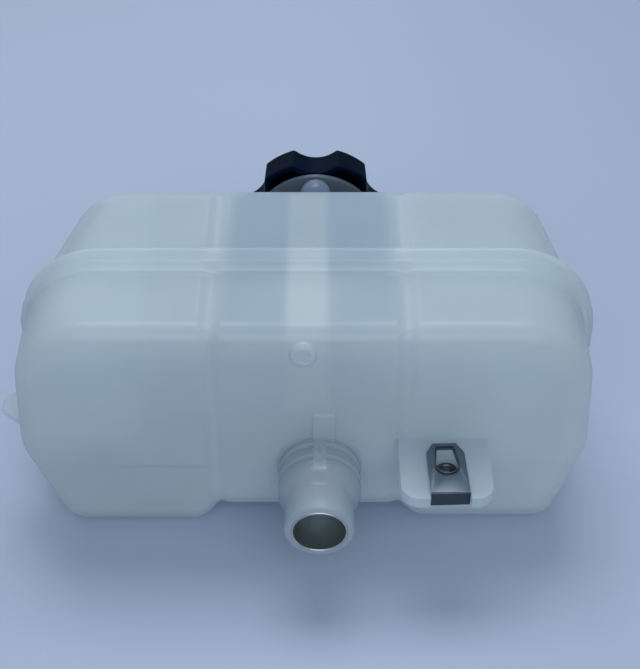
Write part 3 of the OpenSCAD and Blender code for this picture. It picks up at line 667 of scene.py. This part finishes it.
# ---- outlet nipple with its rings, web, blind boss, plate and ear
def outletNipple():
    # soft rings with two fine grooves, then a rounded taper to the hose seat and its lip
    o = outlet
    ring, seat, face, lip, mouth = o["collar"], o["hose"], o["face"], o["lip"], o["mouth"]
    root = [(1.6, 2.6), (1.3, 0.6), (0.3, -0.3), (-0.5, -1.0), (-0.6, -2.4), (-0.2, -3.8), (-0.1, -5.2)]
    dip = [(-0.1, 1.5), (-0.6, 1.05), (-1.9, 0.7), (-2.5, 0), (-2.0, -0.7), (-0.9, -1.15), (-0.3, -1.6),
           (0, -2.4)]
    taper = [(0, -73.6), (-0.15, -75.2), (-0.6, -77.2), (-1.35, -79.3), (-2.3, -81.3), (-3.2, -83.0)]
    rings = [(seat - 1, o["inside"])] + [(ring + r, face + y) for r, y in root]
    rings += [(ring + r, groove + y) for groove in o["grooves"] for r, y in dip]
    rings += [(ring + r, y) for r, y in taper] + [(seat + 0.15, -84.3), (seat, -85.6)]
    rings += arc((seat - lip, mouth + lip), lip, 0, -90, 6)
    sleeveEnd = mouth + o["sleeveLength"]
    rings += [(o["sleeve"] + 0.3, mouth), (o["sleeve"], mouth + 0.3), (o["sleeve"], sleeveEnd)]
    rings += [(o["bore"], sleeveEnd), (o["bore"], o["inside"])]
    return revolve("outletNipple", rings, outletAxis, milkyPipe, 144, 40)


dress(outletNipple(), "tank", "tank")

# the web runs down from the face onto the first ring, and a narrower rib crosses both grooves
ribs = {
    "web": [(-52, 67), (-57.6, 67), (-57.6, 70.5), (-56.7, 73.0), (-55.9, 77.0), (-55.4, 80.4), (-54.9, 83.0),
            (-53.8, 84.0), (-52, 84.2)],
    "webX": (2.1, 13.1), "webEdge": 2.4,
    "rib": [(-56, 66.0), (-74, 66.0), (-78.0, 67.4), (-78.0, 68.0), (-75, 69.1), (-56, 69.1)],
    "ribX": (2.4, 8.6), "ribEdge": 1.4,
}
for name, steps in (("web", 5), ("rib", 4)):
    obj = slab("outlet" + name.capitalize(), [ribs[name]], *ribs[name + "X"],
               lambda u, v, w: (w, u, v), shadedPlatePlastic)
    dress(bevel(obj, ribs[name + "Edge"], steps), "tank", "tank")

boss = {
    "axis": (-2.5, 123.0),
    "rings": [(0.0, -51.6), (7.4, -51.6), (6.9, -54.1), (6.5, -54.5), (6.3, -55.2), (5.9, -55.8),
              (5.3, -56.1), (4.5, -56.1), (3.9, -55.8), (3.5, -55.3), (2.9, -55.0), (0.0, -54.9)],
}
dress(revolve("blindBoss", boss["rings"], boss["axis"], shadedPlatePlastic, 64), "tank", "tank")

plate = {
    "x0": 45.5, "x1": 91.0, "top": 67.0, "thick": 6.4, "front": -96.0, "radius": 9.0, "root": -53.0,
    "fillet": 1.2, "filletY": -54.8, "hole": 5.7, "edge": 1.6,
}
clip = {
    "width": 19.2, "sheet": 1.2, "front": -19.2, "back": 15.3, "x": 69.0, "y": -74.5, "turn": 2.0,
    "top": 67.1, "low": 59.3, "thread": 3.4, "barrel": 5.5, "barrelGap": 0.9, "barrelHigh": 5.4,
    "rimWide": 0.8, "rimHigh": 0.7, "bend": 1.1, "bendInside": 0.3, "nose": 6.5, "noseHalf": 5.95, "gap": 0.5,
    # the window: round over the bolt, with two small rounds at its far end
    "round": 5.4, "farRound": 0.8, "farX": 3.3, "farGap": 4.4,
}
ear = {
    "near": [(-140, -41.5), (-150.5, -41.3)], "far": [(-150.5, -16.2), (-140, -15.5)], "round": 4.6,
    "nearCorner": (-156.3, -31.0), "farCorner": (-156.5, -24.6), "low": 64.0, "top": 67.0, "edge": 1.2,
}


def onClip(u, v, w=0.0):
    # from the clip's own axes, with the bolt at their middle, to the part's
    turn = math.radians(clip["turn"])
    return (clip["x"] + u * math.cos(turn) - v * math.sin(turn),
            clip["y"] + u * math.sin(turn) + v * math.cos(turn), w)


def mountingPlate():
    # joins the face with small fillets and has a notch for the clip's fold
    p, c, r, fillet = plate, clip, plate["radius"], plate["fillet"]
    inside = p["root"] + 1
    left = [(p["x0"] - fillet, inside)] + arc((p["x0"] - fillet, p["filletY"]), fillet, 90, 0, 8)
    left += arc((p["x0"] + r, p["front"] + r), r, 180, 270, 12)
    half, deep, front = c["width"] / 2 + c["gap"], c["front"] - 0.1 + c["sheet"], p["front"] - c["y"]
    notch = [onClip(u, v)[:2] for u, v in ((-half, front), (-half, deep), (half, deep), (half, front))]
    notch[0], notch[3] = (notch[0][0], p["front"]), (notch[3][0], p["front"])
    right = arc((p["x1"] - r, p["front"] + r), r, 270, 360, 12)
    right += arc((p["x1"] + fillet, p["filletY"]), fillet, 180, 90, 8) + [(p["x1"] + fillet, inside)]
    hole = arc((c["x"], c["y"]), p["hole"], 0, 360, 48)[:-1]
    outline = left + notch + right
    obj = slab("mountingPlate", [outline, hole], p["top"] - p["thick"], p["top"], level, shadedPlatePlastic)
    return bevel(obj, p["edge"], 5, 50)


def tankEar():
    e = ear
    loop = e["near"] + arc(e["nearCorner"], e["round"], -120, -180, 6)
    loop += arc(e["farCorner"], e["round"], 180, 118, 6) + e["far"]
    return bevel(slab("tankEar", [loop], e["low"], e["top"], level, shadedPlatePlastic), e["edge"], 4, 50)


dress(mountingPlate(), "tank", "tank")
dress(tankEar(), "tank", "tank")
print("outlet side made")


# ---- filler neck with its thread, disc and blind stub
thread = {"lead": 6.0, "starts": 2, "foot": 1.6, "root": 0.4, "turnSteps": 72, "fadeSteps": 14,
          "neckCrest": 27.1, "neckY": (104.8, 114.2), "capCrest": 25.5, "capY": (105.9, 114.8)}


def helix(name, radius, crest, span, material):
    # ridges on a cylinder round the neck's axis, out or in to the crest, which fade at their ends
    t, sign = thread, math.copysign(1, crest - radius)
    verts, faces = [], []
    turns = (span[1] - span[0]) / t["lead"]
    steps = int(turns * t["turnSteps"])
    for s in range(t["starts"]):
        base = len(verts)
        for i in range(steps + 1):
            angle = 2 * math.pi * (turns * i / steps + s / t["starts"])
            y = span[0] + (span[1] - span[0]) * i / steps
            fade = min(1, i / t["fadeSteps"], (steps - i) / t["fadeSteps"])
            height = max(0.05, abs(crest - radius) * fade)
            foot, root = t["foot"] / 2, -t["root"]
            for up, side in ((root, -foot), (height, -foot / 2), (height, foot / 2), (root, foot)):
                r = radius + sign * up
                verts.append((neck["x"] + r * math.sin(angle), y + side, neck["z"] + r * math.cos(angle)))
        for i in range(steps):
            for k in range(4):
                a, b = base + i * 4 + k, base + i * 4 + (k + 1) % 4
                faces.append((a, b, b + 4, a + 4))
        faces += [tuple(base + k for k in range(4)), tuple(base + steps * 4 + k for k in (3, 2, 1, 0))]
    return makeMesh(name, verts, faces, material, 30)


def fillerNeck():
    # from the root up the outside, round the disc, over the rim and down the bore
    outer, disc, bore = neck["outer"], neck["disc"], neck["bore"]
    face, near, far, rim = neck["face"], neck["discNear"], neck["discFar"], neck["rim"]
    rings = [(bore, face - 3)] + [(outer + r, face + y) for r, y in ((3, -2), (2.4, 0.4), (0.7, 1.5), (0, 3))]
    rings += [(outer + r, near + y) for r, y in ((0, -1.2), (0.4, -0.3), (1.2, 0))]
    rings += [(disc - 0.6, near), (disc - 0.1, near + 0.35)]
    rings += [(disc + r, far + y) for r, y in ((0, -1.2), (-0.1, -0.35), (-0.6, 0))]
    rings += [(outer + 0.8, far), (outer, far + 0.4)]
    rings += [(outer + r, rim + y) for r, y in ((0, -0.8), (-0.3, -0.25), (-0.9, 0))]
    rings += [(bore + r, rim + y) for r, y in ((0.8, 0), (0.2, -0.2), (0, -0.8))]
    # in the darker plastic that paints the shade under the cap
    return revolve("fillerNeck", rings, neckAxis, shadedNeckPlastic, 144, 30)


def blindStub():
    # round-ended stub that stands up from the neck, behind the disc
    y, r, top, steps = (neck["face"] + neck["discNear"]) / 2, neck["stub"], neck["stubTop"], 56
    rows = [(r, neck["z"] + neck["outer"] - 4), (r, top - r)]
    rows += [(r * math.cos(a), top - r + r * math.sin(a)) for a in np.linspace(0.15, 1.45, 9)]
    verts = [(neck["x"] + q * math.cos(a), y + q * math.sin(a), z) for q, z in rows for a in fullTurn(steps)]
    faces = gridFaces(len(rows), steps) + capFaces(len(verts), steps)
    return makeMesh("blindStub", verts, faces, shadedStubPlastic, 45)


dress(fillerNeck(), "tank", "tank")
dress(helix("neckThread", neck["outer"], thread["neckCrest"], thread["neckY"], milky), "tank", "tank")
dress(blindStub(), "tank", "tank")
print("filler neck made")

# ---- rolled sleeve in the outlet
sleeve = {"gap": 0.4, "turn": 22.0, "edge": 0.25, "slack": 0.02, "steps": 150}


def rolledSleeve():
    # the sheet's rounded section, swept round from one side of the gap to the other
    s, edge, slack = sleeve, sleeve["edge"], sleeve["slack"]
    inner, outer, mouth = outlet["bore"], outlet["sleeve"], outlet["mouth"]
    end = mouth + outlet["sleeveLength"]
    section = [(inner, mouth + edge), (inner + edge, mouth), (outer - edge, mouth),
               (outer - slack, mouth + edge), (outer - slack, end - edge), (outer - edge, end - slack),
               (inner + edge, end - slack), (inner, end - edge)]
    halfGap = math.asin(s["gap"] / 2 / outer)
    start = -math.pi / 2 - math.radians(s["turn"]) + halfGap
    verts = []
    for i in range(s["steps"] + 1):
        a = start + (2 * math.pi - 2 * halfGap) * i / s["steps"]
        verts += [(outlet["x"] + q * math.cos(a), y, outlet["z"] + q * math.sin(a)) for q, y in section]
    faces = gridFaces(s["steps"] + 1, len(section)) + capFaces(len(verts), len(section))
    return makeMesh("rolledSleeve", verts, faces, sleeveSteel, 40)


dress(rolledSleeve(), "tank", "sleeve", "outlet_sleeve")

# ---- clip nut: folded sheet with a raised window, and a threaded barrel under it
def clipSheet():
    c, side = clip, clip["width"] / 2
    front, back, high, low = c["front"], c["back"], c["top"] + c["sheet"], c["low"]
    r, s, inner = c["bend"], c["sheet"], c["bendInside"]
    loop = [(back, high), (front + r, high)] + arc((front + r, high - r), r, 90, 180, 6)[1:]
    loop += arc((front + r, low + r), r, 180, 270, 6) + [(back, low), (back, low + s)]
    loop += arc((front + s + inner, low + s + inner), inner, 270, 180, 3)
    loop += arc((front + s + inner, high - s - inner), inner, 180, 90, 3) + [(back, high - s)]
    obj = slab("clipSheet", [loop], -side, side, lambda u, v, w: onClip(w, u, v), clipSteel)
    tools = []
    corner = [(side, back - c["nose"]), (c["noseHalf"], back), (c["noseHalf"], back + 4),
              (side + 4, back + 4), (side + 4, back - c["nose"])]
    for sign in (-1, 1):
        loop = [(sign * u, v) for u, v in corner]
        tools.append(slab("nose", [loop], low - 2, high + 2, onClip, clipSteel))
    tools.append(slab("window", [keyhole(0)], c["top"] - 1, high + 2, onClip, clipSteel))
    bore = arc((0, 0), c["thread"], 0, 360, 40)[:-1]
    tools.append(slab("bore", [bore], low - 2, low + 3, onClip, clipSteel))
    return bevel(cut(obj, tools), 0.16, 2, 50)


def keyhole(grow):
    # outline of the window: round over the bolt hole, narrow at its far end
    c, far = clip, clip["back"] - clip["farGap"]
    ends = [(sign * c["farX"], far, c["farRound"] + grow) for sign in (1, -1)]
    return hullLoop([(0, 0, c["round"] + grow)] + ends, 16)


def clipBarrel():
    # tube round the bolt's axis, in the clip's steel painted darker as shade
    bore, outer = clip["thread"], clip["barrel"]
    low, top = clip["low"] + clip["barrelGap"], clip["low"] + clip["barrelHigh"]
    rings = [(bore, low), (outer, low), (outer, top - 0.3), (outer - 0.3, top), (bore + 0.5, top),
             (bore, top - 0.5)]
    return revolve("clipBarrel", rings, (clip["x"], clip["y"]), shadedClipSteel, 72, 30, upright=True)


dress(clipSheet(), "tank", "clip", "clip_nut")
# the window's raised rim, in the steel painted darker as shade
windowRim = slab("clipWindowRim", [keyhole(clip["rimWide"] + 0.1), keyhole(0.1)], clip["top"] + 0.4,
                 clip["top"] + clip["sheet"] + clip["rimHigh"], onClip, shadedClipSteel)
dress(bevel(windowRim, 0.2, 2, 50), "tank", "clip")
dress(clipBarrel(), "tank", "clip")
print("clip nut made")

# ---- cap: lobed skirt, socket with its thread, lip and ribs
cap = {
    "end": 42.5, "open": 43.5, "lobes": 6, "scallopRadius": 18.0, "scallopIn": 35.8, "blend": 1.6,
    "wall": 2.8, "y0": 103.5, "y1": 123.0, "roof": 120.0, "socket": 27.6, "socketWall": 2.6, "round": 1.8,
    "steps": 384, "lip": 25.6, "ribs": 12, "ribWidth": 1.6, "ribHeight": 14.6, "ribY": 112.9,
}


def capOutline(inset):
    # polar outline: the lobes' circle with a hollow between each two, blended at the corners
    loop, blend = [], cap["blend"]
    pitch = 2 * math.pi / cap["lobes"]
    away, hollow = cap["scallopIn"] + cap["scallopRadius"], cap["scallopRadius"] + inset
    for a in fullTurn(cap["steps"]):
        off = (a - math.pi / 2 + pitch / 2) % pitch - pitch / 2
        reach = cap["end"] - inset
        under = hollow ** 2 - (away * math.sin(off)) ** 2
        if under > 0:
            near = away * math.cos(off) - math.sqrt(under)
            h = max(0.0, min(1.0, 0.5 + 0.5 * (near - reach) / blend))
            reach = near * (1 - h) + reach * h - blend * h * (1 - h)
        loop.append((reach * math.cos(a), reach * math.sin(a)))
    return np.array(loop)


def capSkirt():
    # rows from the middle of the roof's inside, down the skirt, round its open edge and up to the top
    c, y0, y1, roof, soft = cap, cap["y0"], cap["y1"], cap["roof"], cap["round"]
    outer, inner = capOutline(0), capOutline(c["wall"])

    def ring(loop, y, shrink=0.0):
        # a little wider towards the open end
        scale = 1 + (c["open"] / c["end"] - 1) * (y1 - y) / (y1 - y0) - shrink / c["end"]
        return np.column_stack([neck["x"] + loop[:, 0] * scale, np.full(len(loop), y),
                                neck["z"] + loop[:, 1] * scale])

    rows = [ring(inner * 0.6, roof), ring(inner, roof, 1.2), ring(inner, roof - 0.3, 0.4),
            ring(inner, roof - 1.2), ring(inner, y0 + 5), ring(inner, y0 + 0.3), ring(inner, y0, -0.4),
            ring(outer, y0, 0.5), ring(outer, y0 + 0.2, 0.1)]
    rows += [ring(outer, y) for y in np.linspace(y0 + 0.5, y1 - soft, 8)]
    rows += [ring(outer, y1 - soft + soft * math.sin(a), soft * (1 - math.cos(a)))
             for a in np.linspace(0.2, math.pi / 2, 7)]
    # the top is sunk a little inside a rim
    for share, drop in ((0.86, 0.0), (0.80, 0.0), (0.785, 0.35), (0.76, 0.5), (0.5, 0.5), (0.25, 0.5)):
        rows.append(ring(outer * share, y1 - drop))
    verts, count = np.concatenate(rows), len(outer)
    faces = gridFaces(len(rows), count) + capFaces(len(verts), count)
    return makeMesh("capSkirt", verts, faces, capBlack, 40, merge=0.002)


def shapeTree(name, sockets):
    tree = bpy.data.node_groups.new(name, "GeometryNodeTree")
    tree.interface.new_socket("Geometry", in_out="OUTPUT", socket_type="NodeSocketGeometry")
    for socket, kind in sockets.items():
        tree.interface.new_socket(socket, in_out="INPUT", socket_type="NodeSocket" + kind)
    return tree, tree.nodes.new, tree.links.new, tree.nodes.new("NodeGroupInput").outputs


def layDown(tree, shape, degrees, place, material):
    # turns the shape from the Z axis to the part's Y, puts it in place, paints it and hands it out
    make, link = tree.nodes.new, tree.links.new
    real = make("GeometryNodeRealizeInstances")
    link(shape, real.inputs[0])
    turn = make("GeometryNodeTransform")
    turn.inputs["Rotation"].default_value = (math.radians(degrees), 0, 0)
    link(real.outputs[0], turn.inputs["Geometry"])
    link(place, turn.inputs["Translation"])
    paint = make("GeometryNodeSetMaterial")
    paint.inputs["Material"].default_value = material
    link(turn.outputs[0], paint.inputs["Geometry"])
    link(paint.outputs[0], make("NodeGroupOutput").inputs[0])
    return tree


def ribTree():
    # ribs in a ring, each pointing away from the middle
    tree, make, link, given = shapeTree("capRibs", {
        "Count": "Int", "Radius": "Float", "Length": "Float", "Width": "Float", "Height": "Float",
        "Centre": "Vector"})
    circle = make("GeometryNodeMeshCircle")
    link(given["Count"], circle.inputs["Vertices"])
    link(given["Radius"], circle.inputs["Radius"])
    size = make("ShaderNodeCombineXYZ")
    for key, axis in (("Length", "X"), ("Width", "Y"), ("Height", "Z")):
        link(given[key], size.inputs[axis])
    block = make("GeometryNodeMeshCube")
    link(size.outputs[0], block.inputs["Size"])
    align = make("FunctionNodeAlignRotationToVector")
    align.axis = "X"
    link(make("GeometryNodeInputPosition").outputs[0], align.inputs["Vector"])
    instance = make("GeometryNodeInstanceOnPoints")
    link(circle.outputs["Mesh"], instance.inputs["Points"])
    link(block.outputs["Mesh"], instance.inputs["Instance"])
    link(align.outputs["Rotation"], instance.inputs["Rotation"])
    return layDown(tree, instance.outputs[0], 90, given["Centre"], capBlack)


def treeObject(name, tree, values):
    mesh = bpy.data.meshes.new(name)
    obj = bpy.data.objects.new(name, mesh)
    bpy.context.collection.objects.link(obj)
    modifier = modify(obj, "NODES", node_group=tree)
    for item in tree.interface.items_tree:
        if item.in_out == "INPUT" and item.name in values:
            modifier[item.identifier] = values[item.name]
    return bake(obj, 32)


def capSocket():
    # the threaded wall, with a lip under the roof that holds the valve housing
    bore, lip, roof = cap["socket"], cap["lip"], cap["roof"] + 0.5
    outer = bore + cap["socketWall"]
    rings = [(bore, roof), (bore, 118.1), (lip + 0.15, 118.0), (lip, 117.8), (lip, 116.4),
             (lip + 0.15, 116.2), (bore, 116.1), (bore, 105.1), (bore + 0.5, 104.6), (outer - 0.4, 104.5),
             (outer, 104.9), (outer, roof)]
    return revolve("capSocket", rings, neckAxis, capBlack, 128, 30)


def capRibs():
    # from the socket's wall to the hollows of the skirt
    start = cap["socket"] + cap["socketWall"] - 0.5
    length = cap["scallopIn"] - cap["wall"] + 0.5 - start
    obj = treeObject("capRibs", ribTree(), {
        "Count": cap["ribs"], "Radius": (start + length / 2) * mm, "Length": length * mm,
        "Width": cap["ribWidth"] * mm, "Height": cap["ribHeight"] * mm,
        "Centre": (neck["x"] * mm, cap["ribY"] * mm, neck["z"] * mm)})
    return bevel(obj, 0.3, 2, 50)


dress(capSkirt(), "cap", "cap", "cap_grip")
dress(capSocket(), "cap", "cap")
dress(helix("capThread", cap["socket"], thread["capCrest"], thread["capY"], capBlack), "cap", "cap")
dress(capRibs(), "cap", "cap")
print("cap made")


# ---- valve pieces: the frame's own round solids, merged and smoothed, in their finishes
def refine(node, material, body, slot, width=0.15):
    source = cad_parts[node]
    obj = source.copy()
    obj.data = source.data.copy()
    obj.name = node + "Fine"
    obj.parent = None
    obj.hide_render = False
    bpy.context.collection.objects.link(obj)
    obj.data.materials.clear()
    obj.data.materials.append(material)
    bm = bmesh.new()
    bm.from_mesh(obj.data)
    bmesh.ops.remove_doubles(bm, verts=bm.verts, dist=1e-6)
    bmesh.ops.dissolve_limit(bm, angle_limit=math.radians(1), verts=bm.verts, edges=bm.edges)
    bm.to_mesh(obj.data)
    bm.free()
    if width:
        bevel(obj, width, 2, 50)
    else:
        shade(obj, 32)
    return dress(obj, body, slot, node)


refine("valve_housing", housingBlack, "valve_insert", "housing")
refine("neck_seal_ring", rubber, "valve_insert", "rubber", 0)
refine("spring_seat", brass, "valve_insert", "valve")
refine("pressure_plate", brass, "pressure_valve", "valve")
refine("pressure_seal", rubber, "pressure_valve", "rubber")
refine("vacuum_plate", brass, "vacuum_valve", "valve")
refine("vacuum_retainer", springSteel, "vacuum_valve", "valve")


def coilTree():
    # wire swept along a spiral, with its ends closed
    tree, make, link, given = shapeTree("coilSpring", {
        "Coil Radius": "Float", "Wire Radius": "Float", "Turns": "Float", "Length": "Float",
        "Start": "Vector"})
    spiral = make("GeometryNodeCurveSpiral")
    spiral.inputs["Resolution"].default_value = 48
    for key, socket in (("Turns", "Rotations"), ("Coil Radius", "Start Radius"),
                        ("Coil Radius", "End Radius"), ("Length", "Height")):
        link(given[key], spiral.inputs[socket])
    section = make("GeometryNodeCurvePrimitiveCircle")
    section.inputs["Resolution"].default_value = 14
    link(given["Wire Radius"], section.inputs["Radius"])
    sweep = make("GeometryNodeCurveToMesh")
    sweep.inputs["Fill Caps"].default_value = True
    link(spiral.outputs[0], sweep.inputs["Curve"])
    link(section.outputs[0], sweep.inputs["Profile Curve"])
    return layDown(tree, sweep.outputs[0], -90, given["Start"], springSteel)


coils = coilTree()
pressureCoil = {"radius": 11.2, "wire": 2.0, "turns": 4.0, "low": 101.5, "high": 115.0}
vacuumCoil = {"radius": 2.3, "wire": 0.6, "turns": 5.0, "low": 101.5, "high": 108.0}


def coilSpring(name, coil, body, node):
    wire = coil["wire"]
    obj = treeObject(name, coils, {
        "Coil Radius": coil["radius"] * mm, "Wire Radius": wire / 2 * mm, "Turns": coil["turns"],
        "Length": (coil["high"] - coil["low"] - wire) * mm,
        "Start": (neck["x"] * mm, (coil["low"] + wire / 2) * mm, neck["z"] * mm)})
    dress(obj, body, "spring", node)
    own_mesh(obj)


coilSpring("pressureCoil", pressureCoil, "valve_insert", "pressure_spring")
coilSpring("vacuumCoil", vacuumCoil, "pressure_valve", "vacuum_spring")
print("valve made")

# ---- floor, light and camera
studio = {
    "floor": (0.395, 0.468, 0.622), "floorX": 4000, "floorY": (-3000, 6000), "world": (0.86, 0.93, 1.0),
    "worldStrength": 0.36, "lens": 71.3, "camera": (0.0057, -0.538, 0.542), "cameraTilt": 50,
}
# power, size, place, aim and colour
lamps = {
    "overheadBox": (7.2, (0.9, 0.5), (-0.02, 0.44, 1.25), (0, 0, 0.05), (0.86, 0.94, 1.0)),
    "cameraBox": (14.4, (1.8, 1.2), (0.2, -1.5, 1.35), (0, 0, 0.06), (0.88, 0.95, 1.0)),
    "backBox": (3, (1.4, 0.8), (-0.5, 1.5, 0.9), (0, 0, 0.08), (0.84, 0.93, 1.0)),
    "stripBox": (0.9, (0.10, 0.5), (-0.01, 1.2, 1.25), (0, 0, 0.08), (0.9, 0.96, 1.0)),
}


def floorFinish():
    f = Finish("studioFloor")
    darker, lighter = (tuple(c * share for c in studio["floor"]) for share in (0.97, 1.03))
    return f.finish(f.skin({"Base Color": f.tint(f.noise(1.2, 3), darker, lighter), "Roughness": 0.42}))


def studioFloor():
    x, (near, far) = studio["floorX"], studio["floorY"]
    corners = [(-x, near, 0), (x, near, 0), (x, far, 0), (-x, far, 0)]
    return makeMesh("studioFloor", corners, [(0, 1, 2, 3)], floorFinish())


floor = studioFloor()


def softbox(name, power, size, location, aim, colour):
    data = bpy.data.lights.new(name, "AREA")
    data.shape, data.size, data.size_y = "RECTANGLE", size[0], size[1]
    data.energy, data.color = power, colour
    lamp = bpy.data.objects.new(name, data)
    bpy.context.collection.objects.link(lamp)
    lamp.location = location
    x, y, z = np.array(location) - np.array(aim)
    lamp.rotation_euler = (math.atan2(math.hypot(x, y), z), 0, math.atan2(y, x) + math.pi / 2)


for name, settings in lamps.items():
    softbox(name, *settings)

world = bpy.data.worlds.new("studioWorld")
bpy.context.scene.world = world
world.use_nodes = True
world.node_tree.nodes["Background"].inputs["Color"].default_value = (*studio["world"], 1)
world.node_tree.nodes["Background"].inputs["Strength"].default_value = studio["worldStrength"]

cameraData = bpy.data.cameras.new("photoCamera")
cameraData.sensor_fit = "AUTO"
cameraData.sensor_width = 36
cameraData.lens = studio["lens"]
camera = bpy.data.objects.new("photoCamera", cameraData)
bpy.context.collection.objects.link(camera)
camera.location = studio["camera"]
camera.rotation_euler = (math.radians(studio["cameraTilt"]), 0, 0)
bpy.context.scene.camera = camera
bpy.context.scene.view_settings.view_transform = "Standard"
print("studio made")
